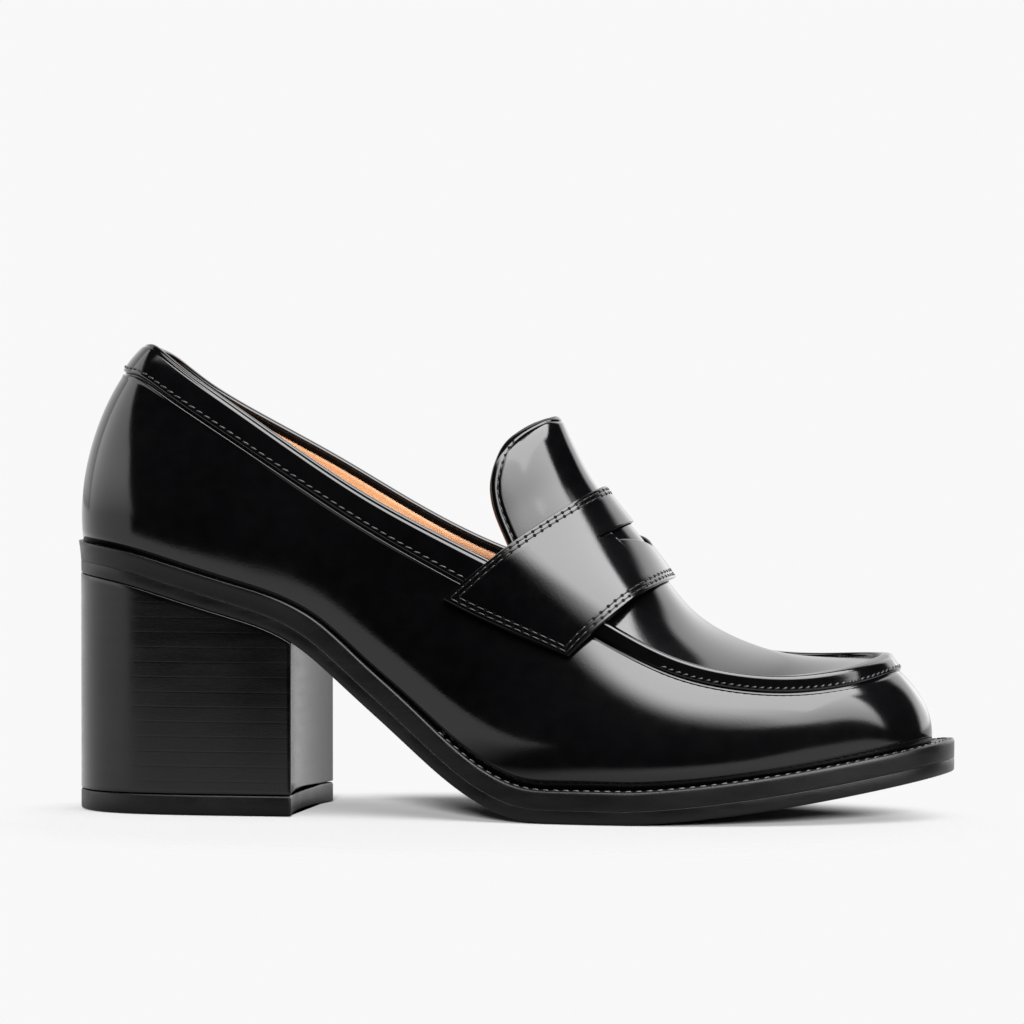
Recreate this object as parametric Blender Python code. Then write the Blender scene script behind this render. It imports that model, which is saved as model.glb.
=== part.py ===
# Loafer pump, right shoe: block heel, welted sole, one hollow upper, tongue, saddle strap and insole.
# Metres, +Z up, toe towards +X, inner (medial) side towards +Y. It stands on z = 0.
# The origin is under the middle of the outer sole outline.

import bmesh
import bpy
import numpy as np

# Overall sizes
LENGTH = 0.246
BALL_WIDTH = 0.088
SEAT_RISE = 0.0662
TOE_SPRING = 0.0125

# Sole and heel
OUTSOLE_THICK = 0.0034
MIDSOLE_THICK = 0.0052
TOP_LIFT_THICK = 0.0055
HEEL_LENGTH = 0.0668
HEEL_INSET = 0.0006
BREAST_HOLLOW = 0.0026
WELT_WIDTH = 0.0062
FLAT_FROM = 0.1400
FLAT_LENGTH = 0.0220
SPRING_POWER = 1.45

# Upper
WALL = 0.0018
COLLAR_RISE = 0.0550
CROWN_LEAD = 0.0185
CROWN_RISE = 0.0100
COLLAR_BAND = 0.0095
COLLAR_STEP = 0.0009
RIM_CREST = 0.0009
SEAM_BAND = 0.0052
SEAM_STEP = 0.0016
SEAM_INNER = 0.0012
STEP_EDGE = 0.0007
THROAT = 9

# Tongue, strap and insole
TONGUE_RISE = 0.0385
TONGUE_BACK = 0.0250
TONGUE_DROP = 0.0210
TONGUE_HALF = 0.0262
TONGUE_THICK = 0.0022
TONGUE_FULLNESS = 0.15
STRAP_THICK = 0.0016
STRAP_DROP = 0.0160
SLOT_OFFSET = 0.0127
SLOT_SLIT = 0.0006
SLOT_SHOULDER = 0.0031
SLOT_OPEN = 0.0085
SLOT_HALF = 0.0145
SLIT_HALF = 0.0190
LIP_POWER = 1.2
STRAP_LIFT = 0.0006
INSOLE_THICK = 0.0025
CLEARANCE = 0.0003

# Mesh steps
STEPS = 3
HEEL_STEPS = 18
BREAST_STEPS = 8
PROFILE_POINTS = 65
WALL_ROWS = 8
PLUG_COLUMNS = 5
STRAP_ROWS = 5
STRAP_STEPS = 2
STRAP_KEYS = 9
CROWN_POINTS = 121
SEARCH_STEPS = 24
SMALL_STEP = 0.01
SHARP_ANGLE = np.radians(35)
TONGUE_COLUMNS = 12
TONGUE_FULL_ROW = 6

# One row for each station, heel back first and toe last. x and top_x are shares of LENGTH.
# Widths are shares of BALL_WIDTH to the outer (lateral) and inner (medial) side.
# Rises are shares of COLLAR_RISE over the welt, and welt is a share of WELT_WIDTH.
STATIONS = (
    # x, lateral, medial, top_x, top_lateral, top_medial, rise_lateral, rise_medial, welt
    (0.000, 0.000, 0.000, 0.080, 0.000, 0.000, 0.982, 0.970, 0.20),
    (0.015, 0.153, 0.153, 0.086, 0.085, 0.085, 0.988, 0.968, 0.20),
    (0.047, 0.256, 0.256, 0.102, 0.154, 0.156, 0.995, 0.934, 0.20),
    (0.102, 0.318, 0.318, 0.138, 0.225, 0.225, 0.942, 0.846, 0.20),
    (0.183, 0.339, 0.332, 0.203, 0.280, 0.278, 0.867, 0.773, 0.20),
    (0.272, 0.339, 0.320, 0.281, 0.308, 0.308, 0.773, 0.708, 0.20),
    (0.362, 0.358, 0.291, 0.358, 0.318, 0.318, 0.862, 0.812, 0.22),
    (0.447, 0.400, 0.295, 0.435, 0.318, 0.318, 1.000, 0.961, 0.34),
    (0.528, 0.452, 0.345, 0.508, 0.320, 0.320, 1.062, 1.058, 0.50),
    (0.602, 0.489, 0.411, 0.573, 0.327, 0.325, 0.945, 0.971, 0.62),
    (0.675, 0.500, 0.461, 0.638, 0.334, 0.330, 0.773, 0.820, 0.72),
    (0.748, 0.484, 0.480, 0.703, 0.330, 0.334, 0.596, 0.653, 0.78),
    (0.813, 0.445, 0.466, 0.766, 0.316, 0.332, 0.484, 0.547, 0.80),
    (0.870, 0.384, 0.430, 0.821, 0.289, 0.314, 0.424, 0.489, 0.82),
    (0.921, 0.298, 0.364, 0.866, 0.239, 0.275, 0.400, 0.453, 0.87),
    (0.959, 0.212, 0.291, 0.898, 0.164, 0.209, 0.395, 0.427, 0.93),
    (0.987, 0.104, 0.198, 0.916, 0.064, 0.132, 0.393, 0.405, 0.98),
    (1.000, -0.051, 0.051, 0.923, -0.036, 0.036, 0.395, 0.395, 1.00),
)

# The wall's curve at some stations: how far its ends pull, as shares of its height,
# and how far they lean outwards, in degrees from upright.
WALL_CURVES = (
    # station, foot_pull, top_pull, foot_lateral, foot_medial, top_lateral, top_medial
    (0, 0.28, 0.34, 8, 8, 47, 47),
    (3, 0.28, 0.34, 8, 8, 26, 26),
    (5, 0.30, 0.34, 7, 8, 10, 10),
    (7, 0.30, 0.34, 12, 20, 9, 5),
    (9, 0.30, 0.34, 20, 20, 22, 16),
    (11, 0.30, 0.36, 18, 17, 44, 40),
    (13, 0.32, 0.38, 14, 13, 54, 48),
    (15, 0.34, 0.40, 8, 8, 50, 49),
    (17, 0.36, 0.40, 5, 5, 47, 47),
)

# The underside of the sole behind its flat spot: x as a share of FLAT_FROM, z of SEAT_RISE.
SHANK = (
    (0.000, 1.000),
    (0.121, 0.964),
    (0.229, 0.903),
    (0.343, 0.832),
    (0.457, 0.744),
    (0.507, 0.677),
    (0.557, 0.590),
    (0.607, 0.497),
    (0.669, 0.385),
    (0.721, 0.290),
    (0.776, 0.193),
    (0.821, 0.124),
    (0.871, 0.063),
    (0.911, 0.028),
    (0.950, 0.008),
    (1.000, 0.000),
)

# The plug's crown from the throat station to the toe: lead is a share of CROWN_LEAD ahead
# of the seam, rise a share of CROWN_RISE over it, and fullness squares the arch.
CROWN = (
    # lead, rise, fullness
    (1.100, 1.070, 0.25),
    (0.865, 0.365, 0.20),
    (0.715, 0.280, 0.15),
    (0.514, 0.250, 0.10),
    (0.297, 0.200, 0.05),
    (0.135, 0.100, 0.00),
    (0.043, 0.020, 0.00),
    (0.000, 0.000, 0.00),
    (0.000, 0.000, 0.00),
)

# The tongue from the throat to its tip: back and rise of its crown as shares of TONGUE_BACK
# and TONGUE_RISE, then its edges' drop back and down from the crown, of TONGUE_DROP, and half width.
TONGUE = (
    # back, rise, drop_back, drop_down, half
    (0.000, 0.000, 0.950, 0.500, 1.000),
    (0.208, 0.164, 1.080, 0.600, 0.977),
    (0.416, 0.330, 1.060, 0.710, 0.939),
    (0.604, 0.498, 0.960, 0.785, 0.889),
    (0.716, 0.618, 0.950, 0.740, 0.847),
    (0.800, 0.725, 0.940, 0.680, 0.817),
    (0.872, 0.822, 0.890, 0.565, 0.756),
    (0.929, 0.903, 0.770, 0.435, 0.649),
    (0.970, 0.952, 0.600, 0.270, 0.480),
    (0.990, 0.970, 0.330, 0.110, 0.290),
    (1.000, 0.978, 0.140, 0.040, 0.150),
)

# The strap's rear and front edge: the row it crosses at the crown, counted from the throat,
# and how many rows further ahead at the arch's side, the stations where it crosses the top
# edge and where its end seam lies on the wall, and that seam's depth as a share of STRAP_DROP.
STRAP = (
    # crown_row, side_shift, rim_station, end_station, end_drop
    (-2.62, -0.13, 7.84, 7.15, 1.07),
    (0.51, 0.33, 9.85, 9.20, 1.02),
)

# Where the strap is guided over the arch, from its edge to near its crown.
ARCH_GUIDES = (0.86, 0.66, 0.44, 0.22)

LAST = len(STATIONS) - 1
LOOP = 2 * LAST


# A natural cubic spline through the rows of values, read at the given places.
def spline(knots, values, at):
    knots = np.asarray(knots, float)
    values = np.asarray(values, float)
    steps = np.diff(knots)
    slopes = np.diff(values, axis=0) / steps[:, None]
    size = len(knots)
    matrix = np.eye(size)
    right = np.zeros_like(values)
    for i in range(1, size - 1):
        matrix[i, i - 1 : i + 2] = steps[i - 1], 2 * (steps[i - 1] + steps[i]), steps[i]
        right[i] = 6 * (slopes[i] - slopes[i - 1])
    bends = np.linalg.solve(matrix, right)
    at = np.clip(np.asarray(at, float), knots[0], knots[-1])
    i = np.clip(np.searchsorted(knots, at, side="right") - 1, 0, size - 2)
    step = steps[i][..., None]
    b = ((at - knots[i]) / steps[i])[..., None]
    a = 1 - b
    curve = ((a**3 - a) * bends[i] + (b**3 - b) * bends[i + 1]) * step**2 / 6
    return a * values[i] + b * values[i + 1] + curve


# The same spline round the whole shoe: stations run out along the lateral side and back
# along the medial side, so that station s there is LOOP - s.
def loop_spline(stations, lateral, medial, at):
    knots = list(stations) + [LOOP - s for s in stations[-2:0:-1]]
    values = np.array(list(lateral) + list(medial[-2:0:-1]), float)
    knots = np.array(knots, float)
    wide = np.concatenate([knots - LOOP, knots, knots + LOOP])
    return spline(wide, np.tile(values, (3, 1)), np.mod(at, LOOP))


def smooth_step(x):
    x = np.clip(x, 0, 1)
    return x * x * (3 - 2 * x)


def unit(v):
    return v / np.linalg.norm(v, axis=-1, keepdims=True)


# Height of the sole's underside at x.
def underside(x):
    x = np.asarray(x, float)
    shank = np.array(SHANK)
    knots = shank[:, 0] * FLAT_FROM
    ahead = knots[-1] + FLAT_LENGTH / 2
    knots = np.append(knots, [ahead, knots[-1] + FLAT_LENGTH])
    heights = np.append(shank[:, 1] * SEAT_RISE, [0, 0])[:, None]
    rear = spline(knots, heights, x)[..., 0]
    start = FLAT_FROM + FLAT_LENGTH
    share = np.clip((x - start) / (LENGTH - start), 0, None)
    front = TOE_SPRING * share**SPRING_POWER
    return np.where(x < FLAT_FROM, np.maximum(rear, 0), front)


# Height of a layer's surface, its thickness measured square to the underside.
def layer(x, thickness):
    reach = LENGTH * SMALL_STEP / 5
    slope = (underside(x + reach) - underside(x - reach)) / (2 * reach)
    return underside(x) + thickness * np.sqrt(1 + slope**2)


SOLE_THICK = OUTSOLE_THICK + MIDSOLE_THICK + CLEARANCE


# The outer outline of the sole and its outward direction, at stations round the shoe.
def outline(at):
    rows = np.array(STATIONS)
    stations = range(len(rows))
    lateral = np.stack([rows[:, 0] * LENGTH, -rows[:, 1] * BALL_WIDTH], 1)
    medial = np.stack([rows[:, 0] * LENGTH, rows[:, 2] * BALL_WIDTH], 1)
    place = loop_spline(stations, lateral, medial, at)
    ahead = loop_spline(stations, lateral, medial, at + SMALL_STEP)
    behind = loop_spline(stations, lateral, medial, at - SMALL_STEP)
    along = unit(ahead - behind)
    outward = np.stack([along[..., 1], -along[..., 0]], -1)
    return place, outward


# The outline pulled in by a distance, with its height on the sole.
def inset_loop(at, inset, thickness):
    place, outward = outline(at)
    place = place - outward * np.asarray(inset)[..., None]
    return np.concatenate([place, layer(place[..., 0], thickness)[..., None]], -1)


def welt_width(at):
    welt = np.array(STATIONS)[:, 8:] * WELT_WIDTH
    return loop_spline(range(len(STATIONS)), welt, welt, at)[..., 0]


# The line where the wall meets the welt.
def feather(at):
    return inset_loop(at, welt_width(at), SOLE_THICK + CLEARANCE)


# The wall's top edge: the collar's rim behind the throat and the moc seam ahead of it.
def top_edge(at):
    rows = np.array(STATIONS)
    foot = layer(rows[:, 0] * LENGTH, SOLE_THICK + CLEARANCE)
    x = rows[:, 3] * LENGTH
    lateral = np.stack([x, -rows[:, 4] * BALL_WIDTH, foot + rows[:, 6] * COLLAR_RISE], 1)
    medial = np.stack([x, rows[:, 5] * BALL_WIDTH, foot + rows[:, 7] * COLLAR_RISE], 1)
    return loop_spline(range(len(rows)), lateral, medial, at)


# The wall's profiles as dense points from the feather up: one cubic curve for each station.
def wall_profiles(at):
    rows = np.array(WALL_CURVES, float)
    lateral = rows[:, [1, 2, 3, 5]]
    medial = rows[:, [1, 2, 4, 6]]
    curves = loop_spline([int(r) for r in rows[:, 0]], lateral, medial, at)
    foot = feather(at)
    top = top_edge(at)
    _, outward = outline(at)
    outward = np.concatenate([outward, np.zeros(outward.shape[:-1] + (1,))], -1)
    up = np.array([0.0, 0.0, 1.0])
    height = np.linalg.norm(top - foot, axis=-1, keepdims=True)
    lean = np.radians(curves[..., 2:])
    foot_way = up * np.cos(lean[..., :1]) + outward * np.sin(lean[..., :1])
    top_way = -up * np.cos(lean[..., 1:]) + outward * np.sin(lean[..., 1:])
    first = foot + foot_way * height * curves[..., :1]
    second = top + top_way * height * curves[..., 1:2]
    t = np.linspace(0, 1, PROFILE_POINTS)[:, None]
    parts = [foot[..., None, :], first[..., None, :], second[..., None, :], top[..., None, :]]
    shares = [(1 - t) ** 3, 3 * t * (1 - t) ** 2, 3 * t**2 * (1 - t), t**3]
    return sum(part * share for part, share in zip(parts, shares))


# Points on the wall at distances down from its top edge. A distance may differ by station.
def wall_points(at, drops):
    profiles = wall_profiles(at)
    lengths = np.linalg.norm(np.diff(profiles, axis=1), axis=2)
    from_top = np.concatenate([np.zeros((len(at), 1)), np.cumsum(lengths[:, ::-1], 1)], 1)
    points = np.empty((len(at), drops.shape[1], 3))
    for i, profile in enumerate(profiles[:, ::-1]):
        for axis in range(3):
            points[i, :, axis] = np.interp(drops[i], from_top[i], profile[:, axis])
    return points


def wall_height(at):
    return np.linalg.norm(np.diff(wall_profiles(at), axis=1), axis=2).sum(1)


# 0 where the top edge is the collar's rim and 1 where it is the moc seam.
def seam_share(at):
    station = np.minimum(np.mod(at, LOOP), LOOP - np.mod(at, LOOP))
    return smooth_step(station - THROAT + 1)


# How far the wall steps out at a distance down from its top edge.
def band_step(at, drops):
    share = seam_share(at)[:, None]
    width = COLLAR_BAND + (SEAM_BAND - COLLAR_BAND) * share
    step = COLLAR_STEP + (SEAM_STEP - COLLAR_STEP) * share
    return step * smooth_step((width - drops) / STEP_EDGE + 0.5)


# The arch from edge to edge through a crown point. across runs from -1 to 1.
def arch(lateral, medial, crown, fullness, across):
    share = (1 - fullness) * across**2 + fullness * across**4
    middle = (lateral + medial) / 2
    return middle + (medial - lateral) / 2 * across + (crown - middle) * (1 - share)


# The plug between its two seams, at rows counted from the throat.
def plug(row, across):
    station = row + THROAT
    lateral = top_edge(station)
    medial = top_edge(LOOP - station)
    table = spline(range(len(CROWN)), CROWN, row)
    lead = table[..., :1] * CROWN_LEAD
    rise = table[..., 1:2] * CROWN_RISE
    crown = (lateral + medial) / 2 + lead * np.array([1, 0, 0]) + rise * np.array([0, 0, 1])
    return arch(lateral, medial, crown, table[..., 2:], across[..., None])


# The tongue, at rows counted from the throat to its tip.
def tongue(row, across):
    throat = plug(np.zeros(1), np.zeros(1))[0]
    table = spline(range(len(TONGUE)), TONGUE, row)
    x = throat[0] - table[..., 0] * TONGUE_BACK
    z = throat[2] + table[..., 1] * TONGUE_RISE
    crown = np.stack([x, np.full_like(x, throat[1]), z], -1)
    drop_back = table[..., 2] * TONGUE_DROP
    drop_down = table[..., 3] * TONGUE_DROP
    half = table[..., 4] * TONGUE_HALF
    lateral = crown + np.stack([-drop_back, -half, -drop_down], -1)
    medial = crown + np.stack([-drop_back, half, -drop_down], -1)
    return arch(lateral, medial, crown, TONGUE_FULLNESS, across[..., None])


# Tongue and plug as one instep: rows below 0 are the tongue's, eased out to the plug's width.
def instep(row, across):
    row, across = np.broadcast_arrays(np.asarray(row, float), np.asarray(across, float))
    none = np.zeros_like(row)
    ahead = plug(np.clip(row, 0, None), across)
    behind = tongue(np.clip(-row, 0, None), across)
    eased = behind + (plug(none, across) - tongue(none, across)) * smooth_step(1 + row)[..., None]
    return np.where(row[..., None] < 0, eased, ahead)


# Outward unit normals of a grid of points, columns along the second index.
def grid_normals(points, closed=False):
    if closed:
        along = np.roll(points, -1, 0) - np.roll(points, 1, 0)
    else:
        along = np.gradient(points, axis=0)
    up = np.gradient(points, axis=1)
    return unit(np.cross(along, up))


# Normals of an open arch grid point up and outwards, whichever way its rows run.
def upward(normals):
    middle = normals[normals.shape[0] // 2, normals.shape[1] // 2]
    return normals if middle[2] > 0 else -normals


def new_material(name, colour, roughness, metallic=0.0):
    material = bpy.data.materials.new(name)
    material.use_nodes = True
    shader = material.node_tree.nodes["Principled BSDF"]
    shader.inputs["Base Color"].default_value = (*colour, 1)
    shader.inputs["Roughness"].default_value = roughness
    shader.inputs["Metallic"].default_value = metallic
    return material


# Adds one object from points and faces. Its faces are turned outwards.
def add_object(name, points, faces, material):
    centre = np.array([LENGTH / 2, middle_y(), 0])
    mesh = bpy.data.meshes.new(name)
    mesh.from_pydata((np.asarray(points) - centre).tolist(), [], faces)
    shape = bmesh.new()
    shape.from_mesh(mesh)
    bmesh.ops.remove_doubles(shape, verts=shape.verts, dist=1e-6)
    bmesh.ops.recalc_face_normals(shape, faces=shape.faces)
    shape.to_mesh(mesh)
    shape.free()
    mesh.materials.append(material)
    mesh.shade_smooth()
    mesh.set_sharp_from_angle(angle=SHARP_ANGLE)
    made = bpy.data.objects.new(name, mesh)
    bpy.context.scene.collection.objects.link(made)
    return made


def middle_y():
    place, _ = outline(np.arange(LOOP * SEARCH_STEPS) / SEARCH_STEPS)
    return (place[:, 1].min() + place[:, 1].max()) / 2


def ring_faces(first, second):
    count = len(first)
    pairs = range(count)
    return [(first[i], first[(i + 1) % count], second[(i + 1) % count], second[i]) for i in pairs]


# A slab between closed loops that start at the heel's back. Its caps are bridged from side to
# side up to the pair of points before the given one, and closed there by one face.
def slab(name, loops, material, last_pair):
    points = np.concatenate(loops)
    size = len(loops[0])
    rings = [[k * size + i for i in range(size)] for k in range(len(loops))]
    faces = []
    for first, second in zip(rings, rings[1:]):
        faces += ring_faces(first, second)
    for ring in (rings[0], rings[-1]):
        faces.append((ring[0], ring[1], ring[-1]))
        for i in range(1, last_pair - 1):
            faces.append((ring[i], ring[i + 1], ring[size - i - 1], ring[size - i]))
        faces.append(tuple(ring[last_pair - 1 : size - last_pair + 2]))
    return add_object(name, points, faces, material)


def stations_all():
    return np.arange(LOOP * STEPS) / STEPS


def make_outsole(material):
    at = stations_all()
    inset = np.full(len(at), CLEARANCE)
    low = inset_loop(at, inset, 0)
    high = inset_loop(at, inset, OUTSOLE_THICK)
    return slab("outsole", [low, high], material, LAST * STEPS)


def make_midsole(material):
    at = stations_all()
    none = np.zeros(len(at))
    low = inset_loop(at, none, OUTSOLE_THICK + CLEARANCE)
    high = inset_loop(at, none, SOLE_THICK)
    return slab("midsole", [low, high], material, LAST * STEPS)


# The heel's plan: the sole's outline round the back, closed by the breast's shallow arc.
def heel_plan():
    fine = np.arange(LAST * SEARCH_STEPS) / SEARCH_STEPS
    place, _ = outline(fine)
    breast = np.interp(HEEL_LENGTH, place[:, 0], fine)
    half = np.linspace(0, breast, HEEL_STEPS + 1)
    place, outward = outline(np.concatenate([half, -half[:0:-1]]))
    place = place - outward * HEEL_INSET
    lateral = place[HEEL_STEPS]
    medial = place[HEEL_STEPS + 1]
    share = np.linspace(0, 1, BREAST_STEPS + 1)[1:-1, None]
    across = lateral + (medial - lateral) * share
    across[:, :1] -= BREAST_HOLLOW * 4 * share * (1 - share)
    return np.concatenate([place[: HEEL_STEPS + 1], across, place[HEEL_STEPS + 1 :]])


def heel_piece(name, low, high, material):
    plan = heel_plan()
    flat = np.full(len(plan), low)
    loops = [np.column_stack([plan, flat]), np.column_stack([plan, high(plan[:, 0])])]
    return slab(name, loops, material, HEEL_STEPS)


def make_heel(stack, rubber):
    heel_piece("top_lift", 0, lambda x: TOP_LIFT_THICK + 0 * x, rubber)
    heel_piece("heel_block", TOP_LIFT_THICK + CLEARANCE, lambda x: underside(x) - CLEARANCE, stack)


def make_insole(material):
    at = stations_all()
    inset = welt_width(at) + WALL + CLEARANCE
    base = SOLE_THICK + CLEARANCE
    low = inset_loop(at, inset, base)
    high = inset_loop(at, inset, base + INSOLE_THICK)
    return slab("insole", [low, high], material, LAST * STEPS)


# The upper: an outer and an inner skin of one grid round the wall and one over the plug.
def make_upper(material):
    at = stations_all()
    count = len(at)
    height = wall_height(at)[:, None]
    share = seam_share(at)[:, None]
    band = COLLAR_BAND + (SEAM_BAND - COLLAR_BAND) * share
    low = np.linspace(1, 0, WALL_ROWS)[None, :] * (height - band - STEP_EDGE) + band + STEP_EDGE / 2
    low[:, 0] = height[:, 0]
    high = np.concatenate([band - STEP_EDGE / 2, band / 2, 0 * band], 1)
    drops = np.concatenate([low, high], 1)
    base = wall_points(at, drops)
    normals = grid_normals(base, closed=True)
    rows = np.arange(THROAT * STEPS, LAST * STEPS) / STEPS - THROAT
    edge = SEAM_INNER + STEP_EDGE
    half = np.linalg.norm(top_edge(rows + THROAT) - top_edge(LOOP - rows - THROAT), axis=1) / 2
    inner = np.minimum(edge / half, 0.3)
    body = np.linspace(1, 0, PLUG_COLUMNS + 1)[None, :-1] * (1 - inner[:, None])
    across = np.concatenate([-body, np.zeros((len(rows), 1)), body[:, ::-1]], 1)
    lip = np.minimum(SEAM_INNER / half, 0.15)[:, None]
    across = np.concatenate([-np.ones_like(lip), lip - 1, across, 1 - lip, np.ones_like(lip)], 1)
    cap = plug(rows[:, None] + np.zeros_like(across), across)
    cap_normals = upward(grid_normals(cap))
    seam = top_edge(np.arange(THROAT * SEARCH_STEPS, (LOOP - THROAT) * SEARCH_STEPS + 1) / SEARCH_STEPS)
    distance = np.linalg.norm(cap[:, :, None] - seam, axis=3).min(2)
    cap_step = SEAM_STEP * smooth_step((SEAM_INNER - distance) / STEP_EDGE + 1)
    # Where wall and plug meet, both skins share one normal.
    first = THROAT * STEPS
    for i in range(len(rows)):
        for column, station in ((0, first + i), (-1, count - first - i)):
            shared = unit(normals[station, -1] + cap_normals[i, column])
            normals[station, -1] = shared
            cap_normals[i, column] = shared
    tip = LAST * STEPS
    normals[tip, -1] = unit(normals[tip, -1] + cap_normals[-1, 0] + cap_normals[-1, -1])
    wall_out = base + normals * band_step(at, drops)[..., None]
    wall_in = base - normals * WALL
    cap_out = cap + cap_normals * cap_step[..., None]
    cap_in = cap - cap_normals * WALL
    columns = drops.shape[1]
    points = [wall_out.reshape(-1, 3), wall_in.reshape(-1, 3)]
    outer_wall = np.arange(count * columns).reshape(count, columns)
    inner_wall = outer_wall + count * columns
    start = 2 * count * columns
    middle = across.shape[1] - 2
    grids = []
    for skin, wall_index in ((cap_out, outer_wall), (cap_in, inner_wall)):
        points.append(skin[:, 1:-1].reshape(-1, 3))
        index = np.empty((len(rows), middle + 2), int)
        index[:, 1:-1] = np.arange(len(rows) * middle).reshape(len(rows), middle) + start
        index[:, 0] = wall_index[first : first + len(rows), -1]
        index[:, -1] = wall_index[[count - first - i for i in range(len(rows))], -1]
        start += len(rows) * middle
        grids.append(index)
    faces = []
    for wall_index in (outer_wall, inner_wall):
        for column in range(columns - 1):
            faces += ring_faces(wall_index[:, column].tolist(), wall_index[:, column + 1].tolist())
    faces += ring_faces(outer_wall[:, 0].tolist(), inner_wall[:, 0].tolist())
    for index, wall_index in zip(grids, (outer_wall, inner_wall)):
        for i in range(len(rows) - 1):
            for j in range(middle + 1):
                faces.append(tuple(int(v) for v in
                                   (index[i, j], index[i, j + 1], index[i + 1, j + 1], index[i + 1, j])))
        for j in range(middle + 1):
            faces.append((int(index[-1, j]), int(index[-1, j + 1]), int(wall_index[tip, -1])))
    # The rim: a crest between the two skins round the collar, and a plain edge at the throat.
    around = list(range(count - first, count)) + list(range(first + 1))
    crest = (wall_out[around, -1] + wall_in[around, -1]) / 2
    rising = unit(base[around, -1] - base[around, -2])
    ends = np.minimum(np.arange(len(around)), np.arange(len(around))[::-1])
    crest = crest + rising * RIM_CREST * smooth_step(ends / STEPS)[:, None]
    crest_index = list(range(start, start + len(around)))
    points.append(crest)
    for i in range(len(around) - 1):
        for wall_index in (outer_wall, inner_wall):
            a, b = (int(wall_index[around[k], -1]) for k in (i, i + 1))
            faces.append((a, b, crest_index[i + 1], crest_index[i]))
    for j in range(middle + 1):
        faces.append(tuple(int(v) for v in
                           (grids[0][0, j], grids[0][0, j + 1], grids[1][0, j + 1], grids[1][0, j])))
    for k, column in ((crest_index[-1], 0), (crest_index[0], -1)):
        faces.append((k, int(grids[0][0, column]), int(grids[1][0, column])))
    return add_object("upper", np.concatenate(points), faces, material)


# A sheet with its outer skin given: the inner one lies a thickness below, and all edges close.
# same_as names the grid point that a point is joined to, and kept says which faces exist.
def sheet(name, outer, normals, thickness, material, same_as=None, kept=None):
    rows, columns = outer.shape[:2]
    inner = outer - normals * thickness
    points = np.concatenate([outer.reshape(-1, 3), inner.reshape(-1, 3)])
    top = np.arange(rows * columns).reshape(rows, columns) if same_as is None else same_as
    faces = []
    uses = {}
    for i in range(rows - 1):
        for j in range(columns - 1):
            if kept is not None and not kept[i, j]:
                continue
            ring = [int(top[c]) for c in ((i, j), (i, j + 1), (i + 1, j + 1), (i + 1, j))]
            faces.append(tuple(ring))
            faces.append(tuple(v + rows * columns for v in ring[::-1]))
            for pair in zip(ring, ring[1:] + ring[:1]):
                key = frozenset(pair)
                uses[key] = None if key in uses else pair
    for pair in uses.values():
        if pair:
            a, b = pair
            faces.append((b, a, a + rows * columns, b + rows * columns))
    return add_object(name, points, faces, material)


def make_tongue(material):
    rows = np.concatenate([[CLEARANCE / TONGUE_BACK * 6], np.arange(1, len(TONGUE) * 2 - 1) / 2])
    across = np.linspace(-1, 1, TONGUE_COLUMNS + 1)
    grid = tongue(rows[:, None] + 0 * across[None, :], 0 * rows[:, None] + across[None, :])
    normals = upward(grid_normals(grid))
    # Towards the tip, where rows grow short, the skin keeps the way it faces at one full row.
    full = 2 * TONGUE_FULL_ROW
    for i in range(full + 1, len(rows)):
        place = np.interp(grid[i, :, 1], grid[full, :, 1], across)
        for axis in range(3):
            normals[i, :, axis] = np.interp(place, across, normals[full, :, axis])
    return sheet("tongue", grid, unit(normals), TONGUE_THICK, material)


# The strap's underside at a share from its rear edge to its front edge: guide points from the
# lateral end seam up the wall, over the rim and the instep's arch, and down the medial side.
def strap_guides(share):
    rear, front = np.array(STRAP)
    _, side_shift, rim, end, drop = rear + (front - rear) * share
    rows = np.linspace(rear[0], front[0], CROWN_POINTS)
    lengths = np.linalg.norm(np.diff(instep(rows, 0), axis=0), axis=1)
    travelled = np.concatenate([[0], np.cumsum(lengths)])
    crown_row = np.interp(share * travelled[-1], travelled, rows)
    stations = np.array([end, (end + rim) / 2, rim])
    drops = np.array([1.0, 0.5, 0.0])[:, None] * drop * STRAP_DROP
    raised = COLLAR_STEP + (SEAM_STEP - COLLAR_STEP) * seam_share(stations)
    lift = CLEARANCE + raised * np.array([0.0, 1.0, 1.0])
    across = np.array(ARCH_GUIDES)
    row = crown_row + side_shift * across**2
    sides = []
    for side, at in ((-1, stations), (1, LOOP - stations)):
        wall = wall_points(at, drops)[:, 0] + wall_normal(at, drops) * lift[:, None]
        over = instep(row, across * side) + instep_normal(row, across * side) * STRAP_LIFT
        sides.append(np.concatenate([wall, over]))
    middle = np.zeros(1)
    crown = instep(crown_row, middle) + instep_normal(crown_row, middle) * STRAP_LIFT
    return np.concatenate([sides[0], crown, sides[1][::-1]])


# The wall's outward normal at one distance down from the top edge of each station.
def wall_normal(at, drops):
    base = wall_points(at, drops)[:, 0]
    ahead = wall_points(at + SMALL_STEP, drops)[:, 0]
    below = wall_points(at, drops + STEP_EDGE)[:, 0]
    return unit(np.cross(ahead - base, base - below))


def instep_normal(row, across):
    along = instep(row + SMALL_STEP, across) - instep(row - SMALL_STEP, across)
    beside = instep(row, across + SMALL_STEP) - instep(row, across - SMALL_STEP)
    normal = unit(np.cross(along, beside))
    return np.where(normal[..., 2:] > 0, normal, -normal)


# How far the slot reaches ahead of its straight rear edge, at a distance across from the crown.
def slot_width(away):
    open_share = np.clip(1 - away / SLOT_HALF, 0, None) ** LIP_POWER
    wide = SLOT_SHOULDER + (SLOT_OPEN - SLOT_SHOULDER) * open_share
    return np.where(away < SLOT_HALF, wide, np.where(away < SLIT_HALF, SLOT_SLIT, 0.0))


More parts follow.
